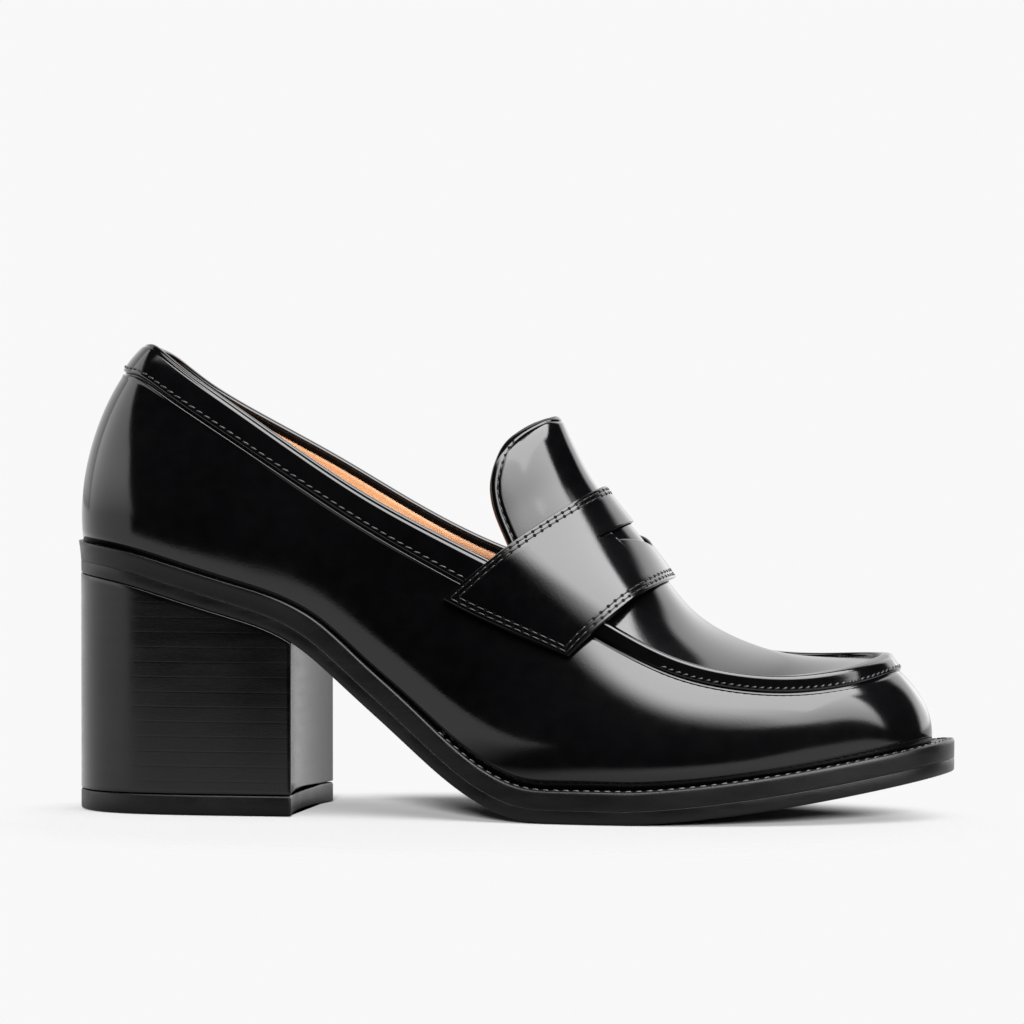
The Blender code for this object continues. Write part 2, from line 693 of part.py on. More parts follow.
def make_strap(material):
    keys = np.linspace(0, 1, STRAP_KEYS)
    guides = np.array([strap_guides(key) for key in keys])
    middle = guides.shape[1] // 2
    width = np.linalg.norm(guides[-1, middle] - guides[0, middle])
    columns = np.arange(2 * middle * STRAP_STEPS + 1) / STRAP_STEPS
    lines = np.array([spline(range(2 * middle + 1), row, columns) for row in guides])
    line_normals = upward(grid_normals(lines))
    rear_edge = SLOT_OFFSET / width
    rear_line = lines[round(rear_edge * (STRAP_KEYS - 1))]
    along = np.concatenate([[0], np.cumsum(np.linalg.norm(np.diff(rear_line, axis=0), axis=1))])
    away = np.abs(along - along[middle * STRAP_STEPS])
    slot = slot_width(away)
    front_edge = rear_edge + slot / width
    before = np.linspace(0, 1, STRAP_ROWS)[:, None] * rear_edge + 0 * columns
    after = front_edge + (1 - front_edge) * np.linspace(0, 1, STRAP_ROWS + 1)[:, None]
    shares = np.concatenate([before, after])
    grid = np.empty(shares.shape + (3,))
    normals = np.empty_like(grid)
    for j in range(len(columns)):
        grid[:, j] = spline(keys, lines[:, j], shares[:, j])
        normals[:, j] = unit(spline(keys, line_normals[:, j], shares[:, j]))
    index = np.arange(shares.size).reshape(shares.shape)
    index[STRAP_ROWS, slot == 0] = index[STRAP_ROWS - 1, slot == 0]
    kept = np.ones((len(shares) - 1, len(columns) - 1), bool)
    kept[STRAP_ROWS - 1] = False
    outer = grid + normals * STRAP_THICK
    return sheet("saddle_strap", outer, normals, STRAP_THICK, material, index, kept)


def main():
    for old in list(bpy.data.objects):
        bpy.data.objects.remove(old)
    leather = new_material("black_leather", (0.006, 0.006, 0.007), 0.12)
    edge = new_material("black_edge", (0.010, 0.010, 0.010), 0.45)
    stack = new_material("stacked_heel", (0.012, 0.012, 0.012), 0.42)
    rubber = new_material("black_rubber", (0.014, 0.014, 0.014), 0.60)
    lining = new_material("tan_lining", (0.62, 0.34, 0.16), 0.55)
    make_outsole(edge)
    make_midsole(edge)
    make_heel(stack, rubber)
    make_insole(lining)
    make_upper(leather)
    make_tongue(leather)
    make_strap(leather)


main()
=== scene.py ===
import bmesh
import bpy
import math
import numpy as np
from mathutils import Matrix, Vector


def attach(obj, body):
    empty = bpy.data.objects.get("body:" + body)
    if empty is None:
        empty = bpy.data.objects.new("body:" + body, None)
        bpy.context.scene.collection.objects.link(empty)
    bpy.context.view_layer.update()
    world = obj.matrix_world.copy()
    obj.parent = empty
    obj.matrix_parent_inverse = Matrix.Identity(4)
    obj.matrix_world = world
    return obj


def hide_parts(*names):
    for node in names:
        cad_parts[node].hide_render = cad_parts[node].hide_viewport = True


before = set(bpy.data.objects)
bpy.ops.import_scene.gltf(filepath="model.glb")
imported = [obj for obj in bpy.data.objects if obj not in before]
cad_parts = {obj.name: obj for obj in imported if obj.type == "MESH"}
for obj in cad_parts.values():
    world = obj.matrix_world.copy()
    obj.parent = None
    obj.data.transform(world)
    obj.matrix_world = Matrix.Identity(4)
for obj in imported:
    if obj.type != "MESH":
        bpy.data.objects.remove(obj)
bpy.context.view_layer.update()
print("frame loaded:", sorted(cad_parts))

photoView = {
    "target": (0.0003, 0.000886, 0.08326),
    "distance": 1.5,
    "azimuth": 10.16,      # degrees from the side view towards the toe
    "elevation": 1.3,
    "lens": 189.74,
    "sensor": 36.0,
}


# The camera stands back from its target along the turned and tilted line of sight.
def makeCamera(view):
    turn, tilt = math.radians(view["azimuth"]), math.radians(view["elevation"])
    back = Vector((math.sin(turn) * math.cos(tilt), -math.cos(turn) * math.cos(tilt), math.sin(tilt)))
    camera = bpy.data.objects.new("photo_camera", bpy.data.cameras.new("photo_camera"))
    camera.data.lens = view["lens"]
    camera.data.sensor_width = view["sensor"]
    camera.data.clip_start = 0.05
    camera.data.clip_end = 100
    camera.location = Vector(view["target"]) + back * view["distance"]
    camera.rotation_mode = "QUATERNION"
    camera.rotation_quaternion = (-back).to_track_quat("-Z", "Y")
    bpy.context.scene.collection.objects.link(camera)
    bpy.context.scene.camera = camera


makeCamera(photoView)
print("camera placed")

mm = 0.001

# The sizes that all pieces share, in metres, as the solids have them
last = {
    "length": 0.246,
    "ballWidth": 0.088,
    "middleY": -0.000886,  # the middle of the outline across, which is the frame's y = 0
    "seatRise": 0.0662,
    "toeSpring": 0.0125,
    "springPower": 1.45,
    "flatFrom": 0.140,
    "flatLength": 0.022,
    "weltWidth": 0.0062,
    "collarRise": 0.055,
    "crownLead": 0.0185,
    "crownRise": 0.010,
    "outsole": 0.0034,
    "midsole": 0.0052,
    "gap": 0.0003,
    "throat": 9,           # station where the collar ends and the moc seam starts
}
last["sole"] = last["outsole"] + last["midsole"] + last["gap"]
last["seat"] = last["sole"] + last["gap"]

# Stations from the heel's back to the toe. x and topX are shares of the length, widths of the
# ball width, rises of the collar rise over the welt, and welt of the welt width.
stationTable = np.array((
    # x, lateral, medial, topX, topLateral, topMedial, riseLateral, riseMedial, welt
    (0.000, 0.000, 0.000, 0.080, 0.000, 0.000, 0.982, 0.970, 0.20),
    (0.015, 0.153, 0.153, 0.086, 0.085, 0.085, 0.988, 0.968, 0.20),
    (0.047, 0.256, 0.256, 0.102, 0.154, 0.156, 0.995, 0.934, 0.20),
    (0.102, 0.318, 0.318, 0.138, 0.225, 0.225, 0.942, 0.846, 0.20),
    (0.183, 0.339, 0.332, 0.203, 0.280, 0.278, 0.867, 0.773, 0.20),
    (0.272, 0.339, 0.320, 0.281, 0.308, 0.308, 0.773, 0.708, 0.20),
    (0.362, 0.358, 0.291, 0.358, 0.318, 0.318, 0.862, 0.812, 0.22),
    (0.447, 0.400, 0.295, 0.435, 0.318, 0.318, 1.000, 0.961, 0.34),
    (0.528, 0.452, 0.345, 0.508, 0.320, 0.320, 1.062, 1.058, 0.50),
    (0.602, 0.489, 0.411, 0.573, 0.327, 0.325, 0.945, 0.971, 0.62),
    (0.675, 0.500, 0.461, 0.638, 0.334, 0.330, 0.773, 0.820, 0.72),
    (0.748, 0.484, 0.480, 0.703, 0.330, 0.334, 0.596, 0.653, 0.78),
    (0.813, 0.445, 0.466, 0.766, 0.316, 0.332, 0.484, 0.547, 0.80),
    (0.870, 0.384, 0.430, 0.821, 0.289, 0.314, 0.424, 0.489, 0.82),
    (0.921, 0.298, 0.364, 0.866, 0.239, 0.275, 0.400, 0.453, 0.87),
    (0.959, 0.212, 0.291, 0.898, 0.164, 0.209, 0.395, 0.427, 0.93),
    (0.987, 0.104, 0.198, 0.916, 0.064, 0.132, 0.393, 0.405, 0.98),
    (1.000, -0.051, 0.051, 0.923, -0.036, 0.036, 0.395, 0.395, 1.00),
))

# The wall's curve: how far its ends pull, and how many degrees they lean out from upright.
wallTable = np.array((
    # station, footPull, topPull, footLateral, footMedial, topLateral, topMedial
    (0, 0.28, 0.34, 8, 8, 47, 47),
    (3, 0.28, 0.34, 8, 8, 26, 26),
    (5, 0.30, 0.34, 7, 8, 10, 10),
    (7, 0.30, 0.34, 12, 20, 9, 5),
    (9, 0.30, 0.34, 20, 20, 22, 16),
    (11, 0.30, 0.36, 18, 17, 44, 40),
    (13, 0.32, 0.38, 14, 13, 54, 48),
    (15, 0.34, 0.40, 8, 8, 50, 49),
    (17, 0.36, 0.40, 5, 5, 47, 47),
))

# The sole's underside behind its flat spot: x as a share of flatFrom, z of seatRise
shankTable = np.array((
    (0.000, 1.000), (0.121, 0.964), (0.229, 0.903), (0.343, 0.832),
    (0.457, 0.744), (0.507, 0.677), (0.557, 0.590), (0.607, 0.497),
    (0.669, 0.385), (0.721, 0.290), (0.776, 0.193), (0.821, 0.124),
    (0.871, 0.063), (0.911, 0.028), (0.950, 0.008), (1.000, 0.000),
))

# The plug's crown from the throat to the toe: lead, rise and fullness of its arch
crownTable = np.array((
    (1.100, 1.070, 0.25),
    (0.865, 0.365, 0.20),
    (0.715, 0.280, 0.15),
    (0.514, 0.250, 0.10),
    (0.297, 0.200, 0.05),
    (0.135, 0.100, 0.00),
    (0.043, 0.020, 0.00),
    (0.000, 0.000, 0.00),
    (0.000, 0.000, 0.00),
))

lastStation = len(stationTable) - 1
loopCount = 2 * lastStation


# A natural cubic spline: the bends at its knots solve one three-band system, and between two
# knots the curve is the cubic with those bends. Where columns are given, each place reads its own.
def splineAt(knots, values, at, *columns):
    knots, values = np.asarray(knots, float), np.asarray(values, float)
    steps = np.diff(knots)
    inner = np.arange(1, len(knots) - 1)
    matrix = np.eye(len(knots))
    matrix[inner, inner - 1] = steps[:-1]
    matrix[inner, inner] = 2 * (steps[:-1] + steps[1:])
    matrix[inner, inner + 1] = steps[1:]
    flat = values.reshape(len(knots), -1)
    right = np.zeros_like(flat)
    right[1:-1] = 6 * np.diff(np.diff(flat, axis=0) / steps[:, None], axis=0)
    bends = np.linalg.solve(matrix, right).reshape(values.shape)
    at = np.clip(np.asarray(at, float), knots[0], knots[-1])
    i = np.clip(np.searchsorted(knots, at, side="right") - 1, 0, len(knots) - 2)
    low, high = (i, *columns), (i + 1, *columns)
    step = steps[i][..., None]
    b = ((at - knots[i]) / steps[i])[..., None]
    a = 1 - b
    bent = ((a**3 - a) * bends[low] + (b**3 - b) * bends[high]) * step**2 / 6
    return a * values[low] + b * values[high] + bent


# The same spline round the whole shoe: out along the lateral side and back along the medial.
def loopSpline(stations, lateral, medial, at):
    stations = np.asarray(stations, float)
    knots = np.concatenate([stations, loopCount - stations[-2:0:-1]])
    values = np.concatenate([lateral, medial[-2:0:-1]])
    wide = np.concatenate([knots - loopCount, knots, knots + loopCount])
    return splineAt(wide, np.tile(values, (3, 1)), np.mod(at, loopCount))


def smoothStep(x):
    x = np.clip(x, 0, 1)
    return x * x * (3 - 2 * x)


def unit(v):
    return v / np.maximum(np.linalg.norm(v, axis=-1, keepdims=True), 1e-12)


# The distance travelled along a line at each of its points.
def travelAlong(line):
    return np.concatenate([[0], np.cumsum(np.linalg.norm(np.diff(line, axis=0), axis=1))])


# How many stations a place is from the heel's back, on whichever side it lies.
def stationOf(at):
    return np.minimum(np.mod(at, loopCount), loopCount - np.mod(at, loopCount))


# The height of the sole's underside: a spline down the shank, flat, then a power curve up the toe.
def underside(x):
    x = np.asarray(x, float)
    knots = shankTable[:, 0] * last["flatFrom"]
    knots = np.append(knots, [knots[-1] + last["flatLength"] / 2, knots[-1] + last["flatLength"]])
    heights = np.append(shankTable[:, 1] * last["seatRise"], [0, 0])[:, None]
    rear = splineAt(knots, heights, x)[..., 0]
    start = last["flatFrom"] + last["flatLength"]
    share = np.clip((x - start) / (last["length"] - start), 0, None)
    front = last["toeSpring"] * share ** last["springPower"]
    return np.where(x < last["flatFrom"], np.maximum(rear, 0), front)


# The underside lifted by a thickness measured square to it.
def layerAt(x, thickness):
    reach = last["length"] * 0.002
    slope = (underside(x + reach) - underside(x - reach)) / (2 * reach)
    return underside(x) + thickness * np.sqrt(1 + slope**2)


# The sole's outline at stations round the shoe, and the way outwards from it.
def outlineAt(at):
    x = stationTable[:, :1] * last["length"]
    lateral = np.hstack([x, -stationTable[:, 1:2] * last["ballWidth"]])
    medial = np.hstack([x, stationTable[:, 2:3] * last["ballWidth"]])
    rows = np.arange(lastStation + 1)
    place = loopSpline(rows, lateral, medial, at)
    along = unit(loopSpline(rows, lateral, medial, at + 0.01) - loopSpline(rows, lateral, medial, at - 0.01))
    return place, np.stack([along[..., 1], -along[..., 0]], -1)


# The outline pulled in by a distance, at a thickness over the underside.
def insetLoop(at, inset, thickness):
    place, outward = outlineAt(at)
    place = place - outward * np.asarray(inset)[..., None]
    return np.concatenate([place, layerAt(place[..., 0], thickness)[..., None]], -1)


def weltAt(at):
    welt = stationTable[:, 8:] * last["weltWidth"]
    return loopSpline(np.arange(lastStation + 1), welt, welt, at)[..., 0]


def featherAt(at):
    return insetLoop(at, weltAt(at), last["seat"])


# The wall's top edge: the collar's rim behind the throat and the moc seam ahead of it.
def topEdge(at):
    foot = layerAt(stationTable[:, 0] * last["length"], last["seat"])
    x = stationTable[:, 3] * last["length"]
    lateral, medial = (np.stack([x, side * stationTable[:, wide] * last["ballWidth"],
                                 foot + stationTable[:, rise] * last["collarRise"]], 1)
                       for side, wide, rise in ((-1, 4, 6), (1, 5, 7)))
    return loopSpline(np.arange(lastStation + 1), lateral, medial, at)


# The four control points of each station's wall curve, from the feather up to the top edge.
def wallControls(at):
    curves = loopSpline(wallTable[:, 0], wallTable[:, [1, 2, 3, 5]], wallTable[:, [1, 2, 4, 6]], at)
    foot, top = featherAt(at), topEdge(at)
    outward = outlineAt(at)[1]
    outward = np.concatenate([outward, np.zeros(outward.shape[:-1] + (1,))], -1)
    up = np.array([0.0, 0.0, 1.0])
    height = np.linalg.norm(top - foot, axis=-1, keepdims=True)
    lean = np.radians(curves[..., 2:])
    footWay = up * np.cos(lean[..., :1]) + outward * np.sin(lean[..., :1])
    topWay = -up * np.cos(lean[..., 1:]) + outward * np.sin(lean[..., 1:])
    return np.stack([foot, foot + footWay * height * curves[..., :1],
                     top + topWay * height * curves[..., 1:2], top], 1)


# The cubic curve of the four controls at shares t.
def cubicAt(controls, t):
    t = t[..., None]
    c = controls[:, None]
    return (c[..., 0, :] * (1 - t) ** 3 + c[..., 1, :] * 3 * t * (1 - t) ** 2
            + c[..., 2, :] * 3 * t**2 * (1 - t) + c[..., 3, :] * t**3)


# Each station's wall curve with shares t from its top edge down, and the distance travelled there.
def wallTravel(at):
    controls = wallControls(at)
    t = np.broadcast_to(np.linspace(1, 0, 129), (len(at), 129))
    lengths = np.linalg.norm(np.diff(cubicAt(controls, t), axis=1), axis=2)
    return controls, t, np.concatenate([np.zeros((len(at), 1)), np.cumsum(lengths, 1)], 1)


# Points on the wall at distances down from its top edge: the lengths of all stations are laid end
# to end with a large step between them, so that one lookup turns each distance into a share t.
def wallPoints(at, drops):
    controls, t, fromTop = wallTravel(at)
    shift = np.arange(len(at))[:, None] * 10.0
    drops = np.clip(drops, 0, fromTop[:, -1:])
    found = np.interp((drops + shift).ravel(), (fromTop + shift).ravel(), t.ravel()).reshape(drops.shape)
    return cubicAt(controls, found)


def wallHeight(at):
    return wallTravel(at)[2][:, -1]


# A place on the wall for each station and drop, with the outward normal from its two tangents.
def onWall(at, drop):
    at = np.asarray(at, float)
    drop = np.broadcast_to(np.asarray(drop, float), at.shape)
    here = wallPoints(at, drop[:, None])[:, 0]
    ahead = wallPoints(at + 0.01, drop[:, None])[:, 0]
    below = wallPoints(at, drop[:, None] + 0.5 * mm)[:, 0]
    return here, unit(np.cross(ahead - here, here - below))


# 0 where the top edge is the collar's rim, 1 where it is the moc seam.
def seamShare(at):
    return smoothStep(stationOf(at) - last["throat"] + 1)


# An arch from edge to edge through a crown point; across runs from -1 to 1.
def archAt(lateral, medial, crown, fullness, across):
    share = (1 - fullness) * across**2 + fullness * across**4
    middle = (lateral + medial) / 2
    return middle + (medial - lateral) / 2 * across + (crown - middle) * (1 - share)


# The plug: arches between the two seams over a crown that leads and rises by the crown table.
def plugAt(row, across):
    station = row + last["throat"]
    lateral, medial = topEdge(station), topEdge(loopCount - station)
    table = splineAt(np.arange(len(crownTable)), crownTable, row)
    crown = ((lateral + medial) / 2 + table[..., :1] * last["crownLead"] * np.array([1, 0, 0])
             + table[..., 1:2] * last["crownRise"] * np.array([0, 0, 1]))
    return archAt(lateral, medial, crown, table[..., 2:], across[..., None])


# Normals of a grid of points from its two sets of differences.
def gridNormals(points, closed=False):
    if closed:
        along = np.roll(points, -1, 0) - np.roll(points, 1, 0)
    else:
        along = np.gradient(points, axis=0)
    return unit(np.cross(along, np.gradient(points, axis=1)))


def upward(normals):
    middle = normals[normals.shape[0] // 2, normals.shape[1] // 2]
    return normals if middle[2] > 0 else -normals


# The nearest distance from each point to a set of line points.
def nearest(points, line):
    flat = points.reshape(-1, 3)
    blocks = [np.sqrt(((block[:, None] - line) ** 2).sum(2)).min(1)
              for block in np.array_split(flat, max(1, len(flat) // 1500))]
    return np.concatenate(blocks).reshape(points.shape[:-1])


# Even places along a line of points, and the tangents and any other values there.
def evenly(line, pitch, *others):
    travelled = travelAlong(line)

    def read(values, where):
        return np.stack([np.interp(where, travelled, column) for column in values.T], 1)

    count = max(2, int(round(travelled[-1] / pitch)))
    at = (np.arange(count) + 0.5) * travelled[-1] / count
    tangent = unit(read(line, at + pitch * 0.2) - read(line, at - pitch * 0.2))
    return [read(line, at), tangent] + [unit(read(other, at)) for other in others]


# The numbers of a grid's points, row after row.
def numbered(grid):
    return np.arange(grid.shape[0] * grid.shape[1]).reshape(grid.shape[:2])


# Quads of a grid of point numbers, closed round its first or second index where asked.
def gridQuads(index, closeFirst=False, closeSecond=False):
    if closeFirst:
        index = np.concatenate([index, index[:1]], 0)
    if closeSecond:
        index = np.concatenate([index, index[:, :1]], 1)
    return np.stack([index[:-1, :-1], index[1:, :-1], index[1:, 1:], index[:-1, 1:]], -1).reshape(-1, 4)


# Six times the volume that a closed mesh holds: positive when its faces point outwards.
def signedVolume(points, faces):
    total = 0.0
    for corners in {len(face) for face in faces}:
        ring = points[np.array([face for face in faces if len(face) == corners])]
        for k in range(1, corners - 1):
            total += np.einsum("ij,ij->i", ring[:, 0], np.cross(ring[:, k], ring[:, k + 1])).sum()
    return total


# One finished piece: its mesh with faces outwards, smooth, in its material, riding on the shoe.
def addPiece(name, points, faces, material, slotName, nodes=(), weld=False):
    points = np.asarray(points, float).reshape(-1, 3) - np.array([last["length"] / 2, last["middleY"], 0])
    faces = [tuple(face) for face in (faces.tolist() if isinstance(faces, np.ndarray) else faces)]
    if signedVolume(points, faces) < 0:
        faces = [face[::-1] for face in faces]
    mesh = bpy.data.meshes.new(name)
    mesh.from_pydata(points.tolist(), [], faces)
    shape = bmesh.new()
    shape.from_mesh(mesh)
    if weld:
        bmesh.ops.remove_doubles(shape, verts=shape.verts, dist=2e-6)
        bmesh.ops.dissolve_degenerate(shape, edges=shape.edges, dist=1e-7)
        bmesh.ops.holes_fill(shape, edges=[edge for edge in shape.edges if edge.is_boundary])
    bmesh.ops.recalc_face_normals(shape, faces=shape.faces)
    shape.to_mesh(mesh)
    shape.free()
    mesh.materials.append(material)
    mesh.shade_smooth()
    piece = bpy.data.objects.new(name, mesh)
    bpy.context.scene.collection.objects.link(piece)
    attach(piece, "root")
    if nodes:
        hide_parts(*nodes)
    return piece


# A sheet between an upper and a lower grid whose borders coincide, as they do where its edges
# are rounded, so the two skins weld into one closed shell.
def addSheet(name, top, bottom, material, slotName, nodes=(), kept=None):
    index = numbered(top)
    quads = gridQuads(index)
    if kept is not None:
        quads = quads[kept.ravel()]
    faces = np.concatenate([quads, (quads + index.size)[:, ::-1]])
    points = np.concatenate([top.reshape(-1, 3), bottom.reshape(-1, 3)])
    return addPiece(name, points, faces, material, slotName, nodes, weld=True)


# Half the thickness of a sheet near its edge: a quarter round of the given radius.
def edgeRound(distance, radius):
    return np.sqrt(np.clip(1 - (1 - np.clip(distance / radius, 0, 1)) ** 2, 0, 1))


# Values from 0 to 1 that crowd towards both ends.
def crowded(count, pull):
    t = np.linspace(0, 1, count)
    return t - pull * np.sin(2 * np.pi * t) / (2 * np.pi)


print("shape functions ready")


# Joins a closed loop side to side: its points pair off from the heel's back, station by station.
def capFaces(ring):
    count = len(ring)
    k = np.arange(1, count // 2 - 1)
    quads = np.stack([ring[k], ring[k + 1], ring[count - k - 1], ring[count - k]], 1).tolist()
    half = count // 2
    return [(ring[0], ring[1], ring[-1])] + quads + [(ring[half - 1], ring[half], ring[half + 1])]


# A solid between stacked closed loops, closed by a cap at each end.
def addSlab(name, loops, material, slotName, node):
    index = numbered(np.array(loops))
    faces = gridQuads(index, closeSecond=True).tolist()
    faces += [[int(v) for v in face[::-1]] for face in capFaces(index[0])]
    faces += [[int(v) for v in face] for face in capFaces(index[-1])]
    return addPiece(name, np.concatenate(loops), faces, material, slotName, [node])


roundCount = 16
allRound = np.arange(loopCount * roundCount) / roundCount

midsoleShape = {
    # inset and height over or under the two faces, from the lower face's inside to the upper's
    "lower": ((6.0, 0.0), (0.3, 0.0), (0.09, 0.02), (0.05, 0.10), (0.03, 0.6)),
    "upper": ((0.0, -1.7), (0.02, -1.1), (0.10, -0.62), (0.28, -0.28), (0.58, -0.08), (0.95, 0.0),
              (1.45, 0.0), (1.70, -0.06), (1.90, -0.20), (2.10, -0.28), (2.30, -0.20), (2.50, -0.06),
              (2.75, 0.0), (3.6, 0.0), (4.6, 0.0), (6.0, 0.0), (9.0, 0.0)),
    "groove": (1.6, 2.6),
    "ledge": (2.9 * mm, 0.6 * mm),   # where the welt is this wide the groove starts, and its fade
    "overHeel": (0.3, 0.056, 0.014),  # share of the upper corner's round there, its end and fade
    "drawn": 0.9,
}
outsoleShape = {
    # inset and height over the underside, from the lower face's inside to the upper's
    "rows": ((6.0, 0.0), (1.0, 0.0), (0.45, 0.05), (0.18, 0.2), (0.07, 0.5), (0.05, 1.7),
             (0.05, 3.55), (0.08, 3.63), (0.2, 3.66), (6.0, 3.66)),
}


# Over the heel the sole's side draws in from its upper edge to the block's inset.
def drawnIn(at, share):
    ahead, reach = heelShape["drawn"]
    behind = heelShape["length"] + ahead - outlineAt(at)[0][:, 0]
    return heelShape["inset"] * share * smoothStep(behind / reach)


# The midsole: its edge profile carried round the outline. The stitch groove on its ledge fades
# out where the ledge is narrower than the groove, and over the heel its upper corner is sharper.
def makeMidsole(material):
    base = last["outsole"] + last["gap"]
    ledge, fade = midsoleShape["ledge"]
    wide = smoothStep((weltAt(allRound) - ledge) / fade)
    drawn = drawnIn(allRound, midsoleShape["drawn"])
    loops = [insetLoop(allRound, inset * mm + drawn, base + rise * mm)
             for inset, rise in midsoleShape["lower"]]
    low, high = midsoleShape["groove"]
    least, end, fade = midsoleShape["overHeel"]
    crisp = least + (1 - least) * smoothStep((outlineAt(allRound)[0][:, 0] - end) / fade)
    for inset, rise in midsoleShape["upper"]:
        sharper = crisp if inset < 0.6 and rise > -1 else 1
        depth = rise * mm * (wide if low < inset < high else sharper)
        drawn = drawnIn(allRound, max(0.0, -rise - 0.6) * 0.4)
        row = insetLoop(allRound, inset * mm * sharper + drawn, last["sole"])
        row[:, 2] += depth
        loops.append(row)
    return addSlab("midsole_welt", loops, material, "black_edge", "midsole")


def makeOutsole(material):
    loops = [insetLoop(allRound, inset * mm + drawnIn(allRound, 1.0), rise * mm)
             for inset, rise in outsoleShape["rows"]]
    return addSlab("outsole_leather", loops, material, "black_edge", "outsole")


heelShape = {
    "length": 0.0668,
    "inset": 0.6 * mm,
    "hollow": 2.6 * mm,
    "lift": 5.5 * mm,
    "cornerRound": 0.7 * mm,
    "drawn": (0.012, 0.016),         # where ahead of the breast the sole starts to draw in, and over what
    "sideSteps": 110,
    "breastSteps": 60,
    "upSteps": 45,
    "planPoints": 400,
    # inset and rise in mm: the whole lift, the block's foot and the block's top
    "liftRows": ((6.0, 0.0), (0.45, 0.0), (0.14, 0.14), (0.0, 0.5), (0.0, 2.6), (0.0, 4.9),
                 (0.14, 5.32), (0.45, 5.5), (6.0, 5.5)),
    "footRows": ((6.0, 0.0), (0.3, 0.0), (0.08, 0.08), (0.0, 0.3)),
    "topRows": ((0.0, 0.0), (0.04, 0.12), (0.2, 0.18), (6.0, 0.18)),
}


# The heel's plan: the sole's outline round the back, closed by the breast's shallow parabola, with
# every corner rounded by averaging the loop over a short run of its own length.
def heelPlan(inset):
    fine = np.arange(lastStation * 24) / 24
    breast = np.interp(heelShape["length"], outlineAt(fine)[0][:, 0], fine)
    half = np.linspace(0, breast, heelShape["sideSteps"] + 1)
    place, outward = outlineAt(np.concatenate([half, -half[:0:-1]]))
    place = place - outward * heelShape["inset"]
    lateral, medial = place[heelShape["sideSteps"]], place[heelShape["sideSteps"] + 1]
    share = np.linspace(0, 1, heelShape["breastSteps"] + 1)[1:-1, None]
    across = lateral + (medial - lateral) * share
    across[:, :1] -= heelShape["hollow"] * 4 * share * (1 - share)
    ring = np.concatenate([place[: heelShape["sideSteps"] + 1], across, place[heelShape["sideSteps"] + 1 :]])
    closed = np.concatenate([ring, ring[:1]])
    travelled = travelAlong(closed)
    count = heelShape["planPoints"]
    at = travelled[-1] * np.arange(count) / count
    reach = heelShape["cornerRound"]
    offsets = np.linspace(-reach, reach, 9)
    where = np.mod(at[:, None] + offsets, travelled[-1])
    smooth = np.stack([np.interp(where, travelled, closed[:, axis]).mean(1) for axis in (0, 1)], 1)
    along = unit(np.roll(smooth, -1, 0) - np.roll(smooth, 1, 0))
    return smooth - np.stack([along[:, 1], -along[:, 0]], 1) * inset


# Heel block and lift: the plan carried upwards, its rims eased in by a small quarter round. Each
# loop lies at a share of the way from a level up to the sole's underside.
def makeHeel(stack, rubber):
    def loopAt(inset, rise, share=0.0, level=heelShape["lift"] + last["gap"]):
        plan = heelPlan(inset * mm)
        height = level * (1 - share) + (underside(plan[:, 0]) - last["gap"]) * share + rise * mm
        return np.column_stack([plan, height])

    loops = [loopAt(inset, rise, level=0.0) for inset, rise in heelShape["liftRows"]]
    addSlab("top_lift_rubber", loops, rubber, "black_rubber", "top_lift")
    loops = [loopAt(inset, rise) for inset, rise in heelShape["footRows"]]
    loops += [loopAt(0, 0, share) for share in np.linspace(0, 1, heelShape["upSteps"] + 1)[1:-1]]
    loops += [loopAt(inset, rise, 1.0) for inset, rise in heelShape["topRows"]]
    addSlab("heel_stack", loops, stack, "stacked_heel", "heel_block")


insoleShape = {
    "wall": 1.8 * mm,
    # inset and rise in mm, from the lower face's inside to the upper's
    "rows": ((5.0, 0.0), (0.3, 0.0), (0.05, 0.2), (0.0, 0.8), (0.0, 1.7), (0.12, 2.15), (0.4, 2.4),
             (0.9, 2.5), (5.0, 2.5)),
}


# The sock that the foot stands on: the feather line pulled in by wall and clearance, rounded above.
def makeInsole(material):
    inset = weltAt(allRound) + insoleShape["wall"] + last["gap"]
    loops = [insetLoop(allRound, inset + away * mm, last["seat"] + rise * mm)
             for away, rise in insoleShape["rows"]]
    return addSlab("insole_sock", loops, material, "tan_lining", "insole")


upperShape = {
    "band": 9.5 * mm,          # the padded collar band under the rim
    "bandStep": 0.9 * mm,
    "seamBand": 5.2 * mm,      # the raised moc seam's outer face
    "rimRise": 0.9 * mm,
    "wall": 1.8 * mm,
    "leather": 1.1 * mm,       # the wall without its lining
    "facing": 1.8 * mm,        # the black strip inside the rim
    "shoulder": (0.66, 0.45 * mm, 0.7 * mm),  # its height at the rim, and where the rest rises
    # distance under an edge, reach and height of small bells
    "groove": (0.35 * mm, 0.32 * mm, 0.45 * mm),
    "lip": (1.15 * mm, 0.5 * mm, 0.16 * mm),
    "below": (0.7 * mm, 0.4 * mm, 0.12 * mm),
    "dip": (5.4, 2.2, 1.25 * mm),    # where the outer rim lies lower: station, reach and depth
    "corner": (16.2, 1.0, 1.0 * mm),  # where the toe's outer corner is fuller
    "edgeRows": (2.4 * mm, -0.7 * mm, 22),  # close rows over the band's lower edge: from, to and count
    "rowStep": 0.2 * mm,
    "bodyRows": 26,
    "bandRows": 20,
    "facingRows": 7,
    "insideRows": 14,
    "rimSteps": 12,
}


# A bell curve round its middle, as on the lateral stations or down the wall.
def bellAt(at, bell):
    middle, reach, height = bell
    return height * np.exp(-(((at - middle) / reach) ** 2))


# The toe's outer corner: a bell along the stations that ends before the toe's middle.
def cornerAt(at):
    return bellAt(at, upperShape["corner"]) * smoothStep((lastStation + 0.2 - at) / 0.9)


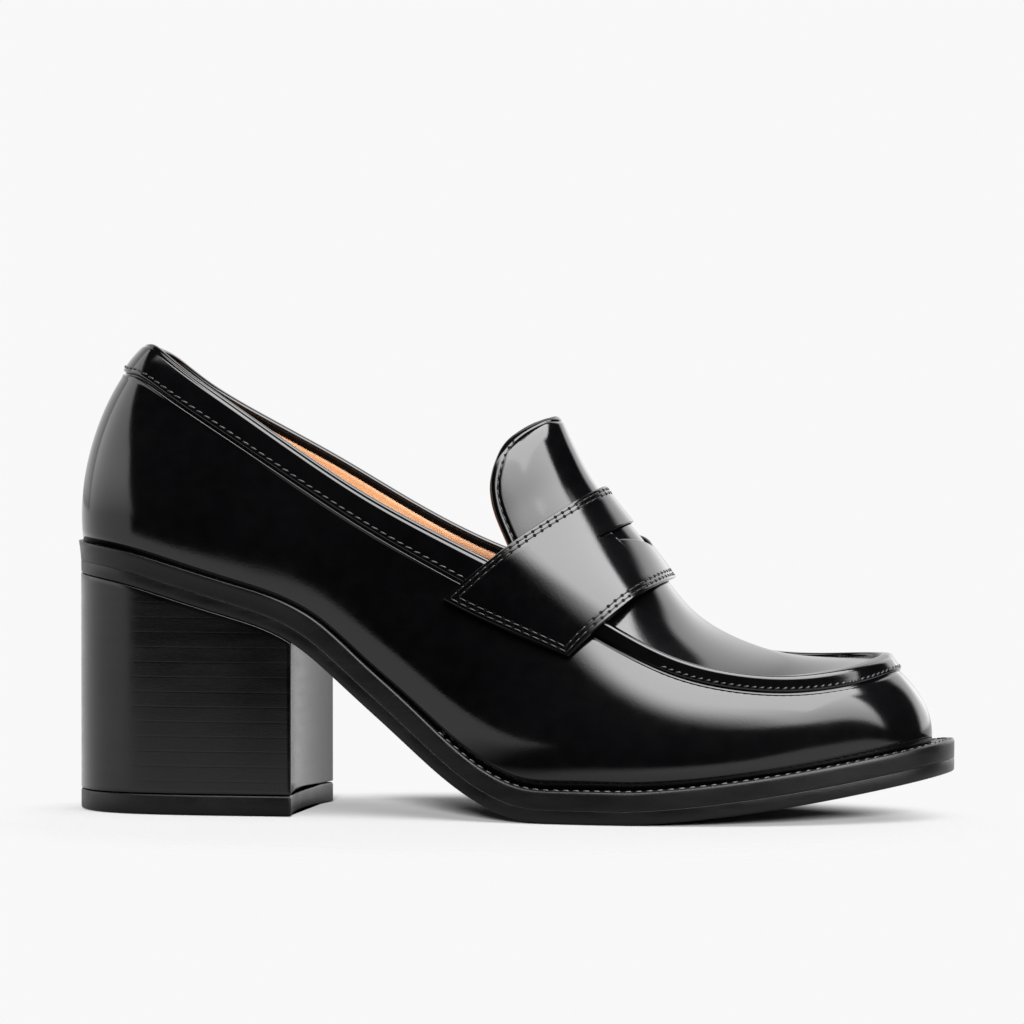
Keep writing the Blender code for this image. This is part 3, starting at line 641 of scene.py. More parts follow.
# How far the skin stands out at a distance under the top edge: the collar band's shoulder rises
# from a thin rim, swells a little and ends in a groove. The wall below the moc seam has a shallow
# groove, and the toe's outer corner is fuller down to its lower third.
def skinLift(at, drops):
    share = seamShare(at)[:, None]
    band = upperShape["band"]
    under = drops - bellAt(at, upperShape["dip"])[:, None]
    least, start, reach = upperShape["shoulder"]
    shoulder = least + (1 - least) * smoothStep((under - start) / reach)
    swell = shoulder * (0.86 + 0.14 * np.sin(np.pi * np.clip(drops / band, 0, 1)))
    padded = upperShape["bandStep"] * swell * smoothStep((band - drops) / (0.5 * mm) + 0.5)
    groove, lip = bellAt(drops - band, upperShape["groove"]), bellAt(drops - band, upperShape["lip"])
    below = bellAt(drops - upperShape["seamBand"], upperShape["below"])
    corner = cornerAt(at)[:, None] * smoothStep(1.6 - drops / (14 * mm))
    return (padded - groove + lip) * (1 - share) + (corner - below) * share


# How far down the wall the outer skin's rows lie: over the body, close together at the band's lower
# edge, and closer towards the rim.
def outerDrops(height, band, dip):
    low, high, count = upperShape["edgeRows"]
    step = upperShape["rowStep"]
    body = height - (height - band - low - step) * np.linspace(0, 1, upperShape["bodyRows"]) ** 0.85
    edge = band + np.linspace(low, high, count)
    top = dip + (band + high - step - dip) * np.linspace(1, 0, upperShape["bandRows"]) ** 1.5
    return np.concatenate([body, edge, top], 1)


# The same on the inside: the facing, the small step at its lower edge, and the wall down to the foot.
def innerDrops(height, dip):
    facing, step = upperShape["facing"], upperShape["rowStep"]
    black = dip + np.linspace(0, 1, upperShape["facingRows"]) * (facing - step - dip)
    edge = facing + np.array([0.0, 0.15, 0.4]) * mm + 0 * dip
    start = facing + 0.8 * mm
    inside = start + (height - start) * np.linspace(0, 1, upperShape["insideRows"])
    return np.concatenate([black, edge, inside], 1)


# The wall's closed profile carried round the shoe: up the outer skin, over the rim's half ellipse,
# down the facing and the inside, and shut under the foot.
def makeUpperWall(material):
    share = seamShare(allRound)[:, None]
    height = wallHeight(allRound)[:, None]
    dip = bellAt(allRound, upperShape["dip"])[:, None]
    wall, thin = upperShape["wall"], upperShape["leather"] - upperShape["wall"]
    band = upperShape["band"] + (upperShape["seamBand"] - upperShape["band"]) * share
    drops = outerDrops(height, band, dip)
    base = wallPoints(allRound, drops)
    normals = gridNormals(base, closed=True)
    lift = skinLift(allRound, drops)
    outer = base + normals * lift[..., None]
    crest = normals[:, -1:]
    rising = unit(base[:, -1:] - base[:, -3:-2])
    turn = np.linspace(0, np.pi, upperShape["rimSteps"] + 1)[1:-1]
    start, inside = lift[:, -1:], -(wall + thin * share)
    away = (start + inside) / 2 + (start - inside) / 2 * np.cos(turn)
    rise = upperShape["rimRise"] * (1 - 0.8 * share) * np.sin(turn)
    rim = base[:, -1:] + crest * away[..., None] + rising * rise[..., None]
    drops = innerDrops(height, dip)
    base = wallPoints(allRound, drops)
    cut = smoothStep((drops - upperShape["facing"] + 0.25 * mm) / (0.3 * mm))
    depth = wall + thin * np.maximum(share, cut)
    inner = base + gridNormals(base, closed=True) * depth[..., None]
    grid = np.concatenate([outer, rim, inner], 1)
    quads = gridQuads(numbered(grid), True, True)
    return addPiece("upper_wall", grid, quads, material, "black_leather", ["upper"])


# The lining inside the wall: a thin closed band from under the facing down to the foot.
def makeWallLining(material):
    share = seamShare(allRound)[:, None]
    height = wallHeight(allRound)[:, None]
    top = (upperShape["facing"] + 0.1 * mm) * (1 - share) + 0.3 * mm * share
    drops = top + (height - 0.4 * mm - top) * np.linspace(0, 1, 26)
    base = wallPoints(allRound, drops)
    normals = -gridNormals(base, closed=True)
    thin = upperShape["leather"] + 0.06 * mm
    outer, inner = base - normals * thin, base - normals * (upperShape["wall"] - 0.08 * mm)
    grid = np.concatenate([outer[:, ::-1], inner], 1)
    quads = gridQuads(numbered(grid), True, True)
    return addPiece("wall_lining", grid, quads, material, "tan_lining")


# The dull black strip inside the rim: a thin closed band from the rim down to the lining.
def makeFacing(material):
    at = allRound[stationOf(allRound) < last["throat"] + 0.5]
    at = np.sort(np.where(at > loopCount / 2, at - loopCount, at))
    dip = bellAt(at, upperShape["dip"])[:, None]
    drops = dip + 0.3 * mm + (upperShape["facing"] - 0.05 * mm - dip) * np.linspace(0, 1, 14)
    base = wallPoints(at, drops)
    normals = gridNormals(base)
    ends = np.sin(np.pi * np.linspace(0, 1, 14)).clip(0) ** 0.5
    ends = 0.10 * mm * ends * smoothStep(np.minimum(at - at[0], at[-1] - at) / 0.2)[:, None]
    inside = upperShape["wall"] + 0.02 * mm
    top = base + normals * (inside + ends)[..., None]
    bottom = base + normals * (inside - ends)[..., None]
    return addSheet("collar_facing", top, bottom, material, "black_leather")


plugShape = {
    "rows": (0.02, 7.97, 150),       # first, last and count
    "columns": (73, 0.5),            # count, and how much they crowd to the sides
    "edge": 0.5 * mm,
    "lining": (0.36 * mm, 0.56 * mm),  # its middle under the leather, and its thickness
}


# The plug's leather and its lining: arches from seam to seam, each a thin shell closed round
# its border, with the leather's border tucked under the moc ridge.
def makePlug(leather, lining):
    rows = np.linspace(*plugShape["rows"])
    across = crowded(*plugShape["columns"]) * 2 - 1
    grid = plugAt(rows[:, None] + 0 * across, across + 0 * rows[:, None])
    away = nearest(grid, np.concatenate([grid[0], grid[-1], grid[:, 0], grid[:, -1]]))
    normals = upward(gridNormals(grid))
    rounded = normals * edgeRound(away, plugShape["edge"])[..., None]
    thick = upperShape["leather"]
    under, liningThick = plugShape["lining"]
    for name, depth, full, material, slotName in (
            ("plug_leather", thick / 2, thick, leather, "black_leather"),
            ("plug_lining", thick + under, liningThick, lining, "tan_lining")):
        middle, half = grid - normals * depth, rounded * (full / 2)
        addSheet(name, middle + half, middle - half, material, slotName)


ridgeShape = {
    "from": 9.2,
    "proud": 0.95 * mm,
    "foot": 5.3 * mm,          # how far down the wall its outer face starts
    "step": 0.75 * mm,         # how far it stands out there
    "lean": (6, 30, 1.3),      # degrees from upright along the sides, more at the toe, and its reach
    "round": 1.1 * mm,         # of its outer corner
    # distance in from the seam and height over the plug, in mm
    "inner": ((0.20, 0.97), (0.50, 0.90), (0.76, 0.72), (0.94, 0.46), (1.04, 0.15), (1.08, -0.2),
              (1.06, -0.6)),
    # distance out from the foot and up from it, in mm, where the profile tucks into the wall
    "tuck": ((-1.3, -0.55), (-0.75, -0.42), (-0.45, -0.22), (-0.2, -0.06)),
    "under": (0.9 * mm, 1.5 * mm),   # its closing point under the seam, and where its ends sink to
    "fade": 0.35,                    # stations over which it sinks at each end
    "pull": 0.55,                    # of the outer corner's cubic
    "steps": (700, 14),              # along the seam, and round the corner
}


# How the plug rises inwards from the seam: the slope of its arch at the edge, held towards the toe.
def plugSlope(at):
    row = np.clip(stationOf(at) - last["throat"], 0, 5.5)
    table = splineAt(np.arange(len(crownTable)), crownTable, row)
    lateral, medial = topEdge(row + last["throat"]), topEdge(loopCount - row - last["throat"])
    half = np.linalg.norm(medial - lateral, axis=-1) / 2
    return np.arctan(table[..., 1] * last["crownRise"] * (2 + 2 * table[..., 2]) / half)


# The two directions from the seam: in over the plug, and square to the plug.
def plugFrame(at):
    tangent = unit(topEdge(at + 0.02) - topEdge(at - 0.02))
    flat = unit(np.stack([-tangent[:, 1], tangent[:, 0], 0 * tangent[:, 0]], 1))
    slope = plugSlope(at)[:, None]
    inwards = flat * np.cos(slope) + np.array([0, 0, 1.0]) * np.sin(slope)
    inwards = unit(inwards - tangent * (inwards * tangent).sum(1, keepdims=True))
    square = np.cross(tangent, inwards)
    return inwards, square * np.sign(square[:, 2:])


# The ridge's outer face: from its foot on the wall it goes up with a small lean to a corner level
# with its top.
def ridgeFace(at):
    seam = topEdge(at)
    place, normal = onWall(at, ridgeShape["foot"])
    foot = place + normal * (ridgeShape["step"] + cornerAt(at))[:, None]
    outward = unit(normal * np.array([1, 1, 0]))
    least, more, reach = ridgeShape["lean"]
    lean = np.radians(least + bellAt(at, (lastStation, reach, more)))
    climb = seam[:, 2] + ridgeShape["proud"] - foot[:, 2]
    corner = foot - outward * (np.tan(lean) * climb)[:, None]
    corner[:, 2] += climb
    return foot, corner, outward * np.cos(lean)[:, None] + np.array([0, 0, 1.0]) * np.sin(lean)[:, None]


# The moc ridge: a closed profile carried along the seam, up its steep outer face, over a corner
# drawn as a cubic curve, and down on the plug. It sinks into the seam at both ends.
def makeRidge(material):
    count, steps = ridgeShape["steps"]
    at = np.linspace(ridgeShape["from"], loopCount - ridgeShape["from"], count)
    ends = smoothStep(np.minimum(at - at[0], at[-1] - at) / ridgeShape["fade"])[:, None, None]
    seam = topEdge(at)[:, None]
    foot, corner, facing = (v[:, None] for v in ridgeFace(at))
    inwards, square = (v[:, None] for v in plugFrame(at))
    rows = np.array(ridgeShape["inner"]) * mm
    over = seam + inwards * rows[:, :1] + square * rows[:, 1:]
    small = ridgeShape["round"]
    start, end = corner + unit(foot - corner) * small, corner + unit(over[:, :1] - corner) * small
    first, second = (point + (corner - point) * ridgeShape["pull"] for point in (start, end))
    bend = cubicAt(np.concatenate([start, first, second, end], 1), np.linspace(0, 1, steps)[None])
    rise = np.array([0, 0.2, 0.45, 0.72])[:, None]
    level = np.array([[0.3], [0.65], [1]])
    bend = np.concatenate([foot + (start - foot) * rise, bend, end + (over[:, :1] - end) * level], 1)
    away = np.array(ridgeShape["tuck"]) * mm
    down = np.cross(facing, np.gradient(seam, axis=0))
    down = unit(down) * -np.sign(down[..., 2:])
    tuck = foot + facing * away[:, :1] - down * away[:, 1:]
    close, sunk = (seam - square * depth for depth in ridgeShape["under"])
    profile = np.concatenate([tuck, bend[:, :-1], over, close], 1)
    profile = sunk + (profile - sunk) * ends
    index = numbered(profile)
    faces = gridQuads(index, closeSecond=True).tolist()
    faces += [tuple(index[0].tolist()), tuple(index[-1, ::-1].tolist())]
    return addPiece("moc_ridge", profile, faces, material, "black_leather")


tongueShape = {
    "rise": 0.0385,
    "back": 0.0250,
    "drop": 0.0210,
    "half": 0.0262,
    "thick": 2.2 * mm,
    "fullness": 0.15,
    "edge": 2.0 * mm,
    "stitchIn": 2.15 * mm,
    "channel": (0, 0.34 * mm, 0.26 * mm),  # the stitches lie in it: offset, reach and depth
    "underlay": (1.0 * mm, 0.2 * mm),  # its swell under the strap's slot, and what it gains at the sides
    "rows": ((0.072, 9.4, 130), (9.42, 10, 34)),  # first, last and count, up to the tip and over it
    "columns": (81, 0.75),
    "held": (6, 0.6),                # the last full row, and the rows over which its way is taken on
}

# The tongue from the throat to its tip: its crown back and up, then its edges' drops and half width
tongueTable = np.array((
    # back, rise, dropBack, dropDown, half
    (0.000, 0.000, 0.950, 0.500, 0.905),
    (0.208, 0.164, 1.080, 0.600, 0.904),
    (0.416, 0.330, 1.060, 0.710, 0.896),
    (0.604, 0.498, 0.960, 0.785, 0.877),
    (0.716, 0.618, 0.950, 0.740, 0.847),
    (0.800, 0.725, 0.940, 0.680, 0.817),
    (0.872, 0.822, 0.890, 0.565, 0.756),
    (0.929, 0.903, 0.770, 0.435, 0.649),
    (0.970, 0.952, 0.600, 0.270, 0.480),
    (0.990, 0.970, 0.330, 0.110, 0.290),
    (1.000, 0.978, 0.140, 0.040, 0.150),
))


# The tongue: arches whose crown climbs back from the throat and whose edges hang back and down.
def tongueAt(row, across):
    throat = plugAt(np.zeros(1), np.zeros(1))[0]
    table = splineAt(np.arange(len(tongueTable)), tongueTable, row)
    x = throat[0] - table[..., 0] * tongueShape["back"]
    z = throat[2] + table[..., 1] * tongueShape["rise"]
    crown = np.stack([x, np.full_like(x, throat[1]), z], -1)
    back, down = table[..., 2] * tongueShape["drop"], table[..., 3] * tongueShape["drop"]
    half = table[..., 4] * tongueShape["half"]
    lateral = crown + np.stack([-back, -half, -down], -1)
    medial = crown + np.stack([-back, half, -down], -1)
    return archAt(lateral, medial, crown, tongueShape["fullness"], across[..., None])


# Tongue and plug as one instep: rows below 0 are the tongue's, eased out to the plug's width.
def instepAt(row, across):
    row, across = np.broadcast_arrays(np.asarray(row, float), np.asarray(across, float))
    none = np.zeros_like(row)
    ahead = plugAt(np.clip(row, 0, None), across)
    behind = tongueAt(np.clip(-row, 0, None), across)
    eased = behind + (plugAt(none, across) - tongueAt(none, across)) * smoothStep(1 + row)[..., None]
    return np.where(row[..., None] < 0, eased, ahead)


def instepNormal(row, across):
    along = instepAt(row + 0.01, across) - instepAt(row - 0.01, across)
    beside = instepAt(row, across + 0.01) - instepAt(row, across - 0.01)
    normal = unit(np.cross(along, beside))
    return np.where(normal[..., 2:] > 0, normal, -normal)


# The tongue's skins. Towards the tip, where its rows grow short, they keep the way the last full
# row faces. Returns the grid, its normals and the distances from its border for the stitches.
def makeTongue(material):
    rows = np.concatenate([np.linspace(*part) for part in tongueShape["rows"]])
    across = crowded(*tongueShape["columns"]) * 2 - 1
    grid = tongueAt(rows[:, None] + 0 * across, across + 0 * rows[:, None])
    normals = upward(gridNormals(grid))
    lastFull, fade = tongueShape["held"]
    full = int(np.searchsorted(rows, lastFull))
    y = np.clip(grid[full + 1 :, :, 1], grid[full, 0, 1], grid[full, -1, 1])
    held = np.stack([np.interp(y, grid[full, :, 1], normals[full, :, axis]) for axis in range(3)], -1)
    keep = smoothStep((rows[full + 1 :, None, None] - lastFull) / fade)
    normals[full + 1 :] = unit(normals[full + 1 :] * (1 - keep) + held * keep)
    border = np.concatenate([grid[:, 0], grid[-1, 1:-1], grid[::-1, -1]])
    away = nearest(grid, border)
    foot = np.minimum(away, np.linalg.norm(grid - grid[:1], axis=2))
    rounded = edgeRound(foot, tongueShape["edge"])[..., None]
    sunk = bellAt(away - tongueShape["stitchIn"], tongueShape["channel"])[..., None]
    crest, flank = tongueShape["underlay"]
    swell = (crest + flank * smoothStep(np.abs(across) / 0.5)) * smoothStep((1.9 - rows[:, None]) / 0.8)
    swell = (swell * smoothStep((0.8 - np.abs(across)) / 0.15))[..., None] * rounded
    half = tongueShape["thick"] / 2
    middle = grid - normals * half
    addSheet("tongue_leather", middle + normals * (half * rounded - sunk + swell),
             middle - normals * half * rounded, material, "black_leather", ["tongue"])
    return grid, normals, away


print("sole, upper and tongue shapes ready")

strapShape = {
    "thick": 1.6 * mm,
    "drop": 16 * mm,
    "lift": 0.6 * mm,
    "slotOffset": 12.7 * mm,
    "slit": 0.3 * mm,
    "shoulder": 3.1 * mm,
    "open": 8.5 * mm,
    "slotHalf": 14.5 * mm,
    "slitHalf": 19.0 * mm,
    "lipPower": 1.2,
    "edge": 0.28 * mm,
    "skived": (5 * mm, 0.85 * mm),   # how far round the slot it is thinner, and by how much
    "stitchIn": (1.15 * mm, 2.45 * mm),
    "channel": (0, 0.4 * mm, 0.05 * mm),
    "arch": (0.30, 0.45, 0.32),      # pull at the rim, pull at the crown, and the most it leans in
    "rimOff": 1.3 * mm,              # how far its front edge stands off the rim
    # distances in from an edge and from the slot where its rows lie
    "edgeRows": np.array([0, 0.02, 0.06, 0.13, 0.22, 0.32, 0.6, 0.9, 1.15, 1.4, 1.8, 2.2, 2.45, 2.7,
                          3.0]) * mm,
    "slotRows": np.array([0.3, 0.14, 0.04, 0]) * mm,
    "pitch": 0.42 * mm,              # between its columns
}

# The strap's rear and front edge: its row at the crown, where it crosses the rim, where its end
# seam lies and how deep.
strapTable = np.array((
    # crownRow, rimStation, endStation, endDrop
    (-2.62, 7.84, 7.15, 1.07),
    (0.51, 9.85, 9.20, 1.02),
))


# Guide points under the strap at a share of its width: up the lateral wall to the rim, over the
# instep on a cubic arch from each rim to the crown, and down the medial side.
def strapGuides(share):
    rear, front = strapTable
    rim, end, drop = (rear + (front - rear) * share)[1:]
    rows = np.linspace(rear[0], front[0], 121)
    travelled = travelAlong(instepAt(rows, 0))
    crownRow = np.interp(share * travelled[-1], travelled, rows)
    stations = np.array([end, (end + rim) / 2, rim])
    drops = np.array([1.0, 0.5, 0.0]) * drop * strapShape["drop"]
    lift = last["gap"] + upperShape["bandStep"] * np.array([0.0, 1.0, 1.0])
    lift[2] += strapShape["rimOff"] * share**2
    centre = np.zeros(1)
    crown = instepAt(crownRow, centre) + instepNormal(crownRow, centre) * strapShape["lift"]
    pull, crownPull, leanIn = strapShape["arch"]
    sides = []
    for side, at in ((-1, stations), (1, loopCount - stations)):
        place, outward = onWall(at, drops)
        wall = place + outward * lift[:, None]
        leave = unit(wall[2] - wall[1])
        leave = unit(np.array([leave[0], -side * min(abs(leave[1]), leanIn), leave[2]]))
        span = crown[0] - wall[2]
        controls = [wall[2], wall[2] + leave * np.linalg.norm(span) * pull,
                    crown[0] - np.array([0, span[1], 0]) * crownPull, crown[0]]
        over = cubicAt(np.array([controls]), np.array([[0.2, 0.42, 0.64, 0.83]]))[0]
        sides.append(np.concatenate([wall, over]))
    return np.concatenate([sides[0], crown, sides[1][::-1]])


# Each guide point is eased across the strap's width by the cubic that fits its keys best.
strapKeys = np.linspace(0, 1, 9)
strapLines = np.array([strapGuides(key) for key in strapKeys])
keyPowers = np.vander(strapKeys, 4)
keyFit = np.linalg.lstsq(keyPowers, strapLines.reshape(len(strapKeys), -1), rcond=None)[0]
strapLines = (keyPowers @ keyFit).reshape(strapLines.shape)


# The strap's underside and its normals at shares of the width and columns along its length.
def strapAt(shares, columns):
    def linesAt(columns):
        return np.stack([splineAt(np.arange(strapLines.shape[1]), line, columns) for line in strapLines])

    def acrossAt(lines, shares):
        own = np.broadcast_to(np.arange(lines.shape[1]), shares.shape)
        return splineAt(strapKeys, lines, shares, own)

    lines = linesAt(columns)
    wide = acrossAt(lines, shares + 0.01) - acrossAt(lines, shares - 0.01)
    long = acrossAt(linesAt(columns + 0.02), shares) - acrossAt(linesAt(columns - 0.02), shares)
    return acrossAt(lines, shares), unit(np.cross(wide, long))


# How far the slot reaches ahead of its straight rear edge, at a distance across from the crown.
def slotWidth(away):
    opened = np.clip(1 - away / strapShape["slotHalf"], 0, None) ** strapShape["lipPower"]
    wide = strapShape["shoulder"] + (strapShape["open"] - strapShape["shoulder"]) * opened
    return np.where(away < strapShape["slotHalf"], wide,
                    np.where(away < strapShape["slitHalf"], strapShape["slit"], 0.0))


strapMiddle = strapLines.shape[1] // 2
strapWidth = np.linalg.norm(strapLines[-1, strapMiddle] - strapLines[0, strapMiddle])
slotShare = strapShape["slotOffset"] / strapWidth
fineCount = 3001
fineColumns = np.linspace(0, 2 * strapMiddle, fineCount)
nearestKey = round(slotShare * (len(strapKeys) - 1)) / (len(strapKeys) - 1)
slotLine = strapAt(np.full((1, fineCount), nearestKey), fineColumns)[0][0]
slotTravelled = travelAlong(slotLine)
slotCentre = slotTravelled[fineCount // 2]


# The strap: rows from the rear edge to the slot and from the slot to the front edge, which meet
# and weld where there is no slot. Its thickness rounds off towards every edge.
def makeStrap(material):
    total, near = slotTravelled[-1], strapShape["edgeRows"]
    ends = np.array([strapShape["slotHalf"] - 0.01 * mm, strapShape["slotHalf"] + 0.02 * mm,
                     strapShape["slitHalf"] - 0.02 * mm, strapShape["slitHalf"] + 0.10 * mm])
    slotEnds = np.concatenate([-ends[::-1], ends]) + slotCentre
    plain = near[-1] + 0.1 * mm
    even = np.arange(plain, total - plain, strapShape["pitch"])
    where = np.unique(np.concatenate([near, total - near, slotEnds, even]))
    columns = np.interp(where, slotTravelled, fineColumns)
    slot = slotWidth(np.abs(where - slotCentre))
    front = slotShare + slot / strapWidth
    edge = near / strapShape["slotOffset"]
    slotSide = strapShape["slotRows"] / strapShape["slotOffset"]
    first = np.concatenate([edge, np.linspace(edge[-1], 0.955, 16)[1:], 1 - slotSide])
    frontSpan = 1 - slotShare
    edge = near / (frontSpan * strapWidth)
    second = np.concatenate([slotSide[::-1], np.linspace(0.045, 1 - edge[-1], 18)[:-1], 1 - edge[::-1]])
    before = first[:, None] * slotShare + 0 * columns
    after = front + (1 - front) * second[:, None]
    shares = np.concatenate([before, after])
    place, normals = strapAt(shares, columns)
    normals = upward(normals)
    split = len(first)
    kept = np.ones((len(shares) - 1, len(columns) - 1), bool)
    kept[split - 1] = False
    border = np.concatenate([place[0], place[-1], place[:, 0], place[:, -1]])
    away = nearest(place, border)
    cut = slot > 0
    rim = np.concatenate([place[split - 1, cut], place[split, cut]])
    slotAway = nearest(place, rim)
    half = strapShape["thick"] / 2
    reach, thinner = strapShape["skived"]
    skived = thinner * smoothStep(1.2 - slotAway / reach)[..., None]
    middle = place + normals * (half + skived / 2)
    rounded = edgeRound(np.minimum(away, slotAway), strapShape["edge"])[..., None] * (half - skived / 2)
    sunk = sum(bellAt(away - line, strapShape["channel"]) for line in strapShape["stitchIn"])
    # The stitch channels end before every edge, so that the two skins meet there and weld.
    sunk = sunk * smoothStep(np.minimum(away, slotAway) / (0.3 * mm))
    return addSheet("strap_leather", middle + normals * (rounded - sunk[..., None]),
                    middle - normals * rounded, material, "black_leather", ["saddle_strap"], kept)


# One stitch: a small spindle along x with six sides and closed ends, arched over the leather.
def stitchTemplate(length, width, height):
    turn = np.arange(6) * np.pi / 3
    along = np.array([-0.44, -0.22, 0.22, 0.44])
    swell = np.array([0.62, 1.0, 1.0, 0.62])
    lift = height * (1 - (along / 0.5) ** 2)
    rings = np.stack([np.repeat(along * length, 6),
                      (swell[:, None] * np.cos(turn) * width / 2).ravel(),
                      (lift[:, None] + swell[:, None] * np.sin(turn) * width * 0.42).ravel()], 1)
    points = np.concatenate([rings, [[-0.5 * length, 0, -0.1 * mm], [0.5 * length, 0, -0.1 * mm]]])
    index = np.arange(24).reshape(4, 6)
    faces = gridQuads(index, closeSecond=True).tolist()
    faces += [[24, index[0, (k + 1) % 6], index[0, k]] for k in range(6)]
    faces += [[25, index[3, k], index[3, (k + 1) % 6]] for k in range(6)]
    return points, faces


# One needle hole between two stitches: a low eight-sided pad with a hollow middle. Its dull black
# finish paints the shade in the hole as a dark dot.
def holeTemplate(pitch, radius):
    turn = np.arange(8) * np.pi / 4
    rows = ((1.0, -0.14), (1.0, 0.02), (0.8, 0.055), (0.45, -0.03))
    rings = [np.stack([pitch / 2 + np.cos(turn) * radius * share, np.sin(turn) * radius * share,
                       np.full(8, rise * mm)], 1) for share, rise in rows]
    index = np.arange(32).reshape(4, 8)
    faces = gridQuads(index, closeSecond=True).tolist()
    return np.concatenate(rings), faces + [index[0, ::-1].tolist(), index[3].tolist()]


# Many copies of one template, each turned to its own run and normal. The lean and the length
# change a little from one to the next by a sine of its number.
def stitchRun(runs, pitch, template, lean=0.0, lift=0.0):
    points, faces, start = [], [], 0
    base, ring = template
    for line, normals in runs:
        place, tangent, normal = evenly(line, pitch, normals)
        side = unit(np.cross(normal, tangent))
        normal = np.cross(tangent, side)
        number = np.arange(len(place))
        wobble = (lean + 0.05 * np.sin(number * 12.9898))[:, None]
        along = tangent * np.cos(wobble) + side * np.sin(wobble)
        side = side * np.cos(wobble) - tangent * np.sin(wobble)
        stretch = (1 + 0.05 * np.sin(number * 78.233 + 1))[:, None, None]
        made = (place[:, None] + base[:, :1] * stretch * along[:, None] + base[:, 1:2] * side[:, None]
                + (base[:, 2:] + lift) * normal[:, None])
        points.append(made.reshape(-1, 3))
        offsets = start + number * len(base)
        for size in {len(face) for face in ring}:
            group = np.array([face for face in ring if len(face) == size])
            faces += (group[None] + offsets[:, None, None]).reshape(-1, size).tolist()
        start += len(place) * len(base)
    return np.concatenate(points), faces


# Stitches along runs and, where the entry gives a hole, the needle holes between them, as dull pads
# that paint the holes' shade.
def addStitches(name, runs, entry, slotName):
    template = stitchTemplate(entry["pitch"] * 0.84, entry["width"], entry["height"])
    made = stitchRun(runs, entry["pitch"], template, entry.get("lean", 0.0))
    addPiece(name + "_stitches", *made, thread, slotName)
    if "hole" in entry:
        template = holeTemplate(entry["pitch"], entry["hole"])
        made = stitchRun(runs, entry["pitch"], template, lift=0.05 * mm)
        addPiece(name + "_holes", *made, facingAndHoleShadeFinish, slotName)


print("strap and stitch shapes ready")


# Looks: one entry for each finish. grain is the scale and depth of its bump, wear the scale of its
# handling, squeeze how much the pattern is flattened, and layers the first height and pitch of cuts.
finish = {
    "blackBoxLeather": {"colour": (0.0010, 0.0010, 0.0012), "worn": (0.0022, 0.0022, 0.0025),
                        "rough": (0.075, 0.13), "grain": (1500.0, 0.006 * mm), "wear": 16.0},
    "tanLining": {"colour": (0.56, 0.29, 0.14), "worn": (0.66, 0.38, 0.20),
                  "rough": (0.42, 0.6), "grain": (1100.0, 0.03 * mm), "wear": 40.0},
    # the dull finish of the collar facing, also worn by the needle-hole pads, where it paints the holes'
    # shade
    "dullLeatherAndHoleShade": {"colour": (0.0012, 0.0012, 0.0013), "worn": (0.0030, 0.0029, 0.0028),
                    "rough": (0.45, 0.6), "grain": (1200.0, 0.03 * mm), "wear": 40.0, "specular": 0.05},
    "inkedEdge": {"colour": (0.0010, 0.0010, 0.0011), "worn": (0.0028, 0.0027, 0.0026),
                  "rough": (0.30, 0.44), "grain": (900.0, 0.03 * mm), "wear": 60.0, "specular": 0.3,
                  "cells": 0.2, "squeeze": 5},
    "stackedHeel": {"colour": (0.0008, 0.0008, 0.0009), "worn": (0.0020, 0.0019, 0.0018),
                    "rough": (0.15, 0.24), "grain": (700.0, 0.012 * mm), "wear": 50.0, "specular": 0.42,
                    "cells": 0.2, "squeeze": 6, "layers": (9.3 * mm, 4.1 * mm)},
    "liftRubber": {"colour": (0.0012, 0.0012, 0.0012), "worn": (0.0030, 0.0030, 0.0030),
                   "rough": (0.34, 0.48), "grain": (1300.0, 0.03 * mm), "wear": 80.0, "specular": 0.25,
                   "cells": 0.3},
    "waxedThread": {"colour": (0.0016, 0.0016, 0.0016), "worn": (0.0060, 0.0060, 0.0060),
                    "rough": (0.24, 0.4), "grain": (3500.0, 0.03 * mm), "wear": 300.0, "cells": 0.2},
}
layerCut = {"soft": (0.05 * mm, 0.30 * mm), "strength": 0.3, "depth": 0.02 * mm}


# Feeds a node's inputs by name or number: sockets are linked and other values are set.
def feed(tree, node, inputs):
    for name, value in inputs.items():
        if isinstance(value, bpy.types.NodeSocket):
            tree.links.new(value, node.inputs[name])
        else:
            node.inputs[name].default_value = value


def addNode(tree, kind, inputs=None, **values):
    node = tree.nodes.new("ShaderNode" + kind)
    for name, value in values.items():
        setattr(node, name, value)
    feed(tree, node, inputs or {})
    return node


def maths(tree, operation, *inputs):
    return addNode(tree, "Math", dict(enumerate(inputs)), operation=operation).outputs[0]


# How far a value is from low to high, from 0 to 1.
def shareOf(tree, value, low, high, kind="SMOOTHSTEP"):
    inputs = {"Value": value, "From Min": low, "From Max": high}
    return addNode(tree, "MapRange", inputs, interpolation_type=kind).outputs["Result"]


# A group with named inputs and outputs; the last item of an input is its value.
def newGroup(name, inputs, outputs):
    tree = bpy.data.node_groups.new(name, "ShaderNodeTree")
    for title, kind, value in inputs:
        socket = tree.interface.new_socket(title, in_out="INPUT", socket_type="NodeSocket" + kind)
        if value is not None:
            socket.default_value = value
    for title, kind in outputs:
        tree.interface.new_socket(title, in_out="OUTPUT", socket_type="NodeSocket" + kind)
    return tree, tree.nodes.new("NodeGroupInput").outputs, tree.nodes.new("NodeGroupOutput")


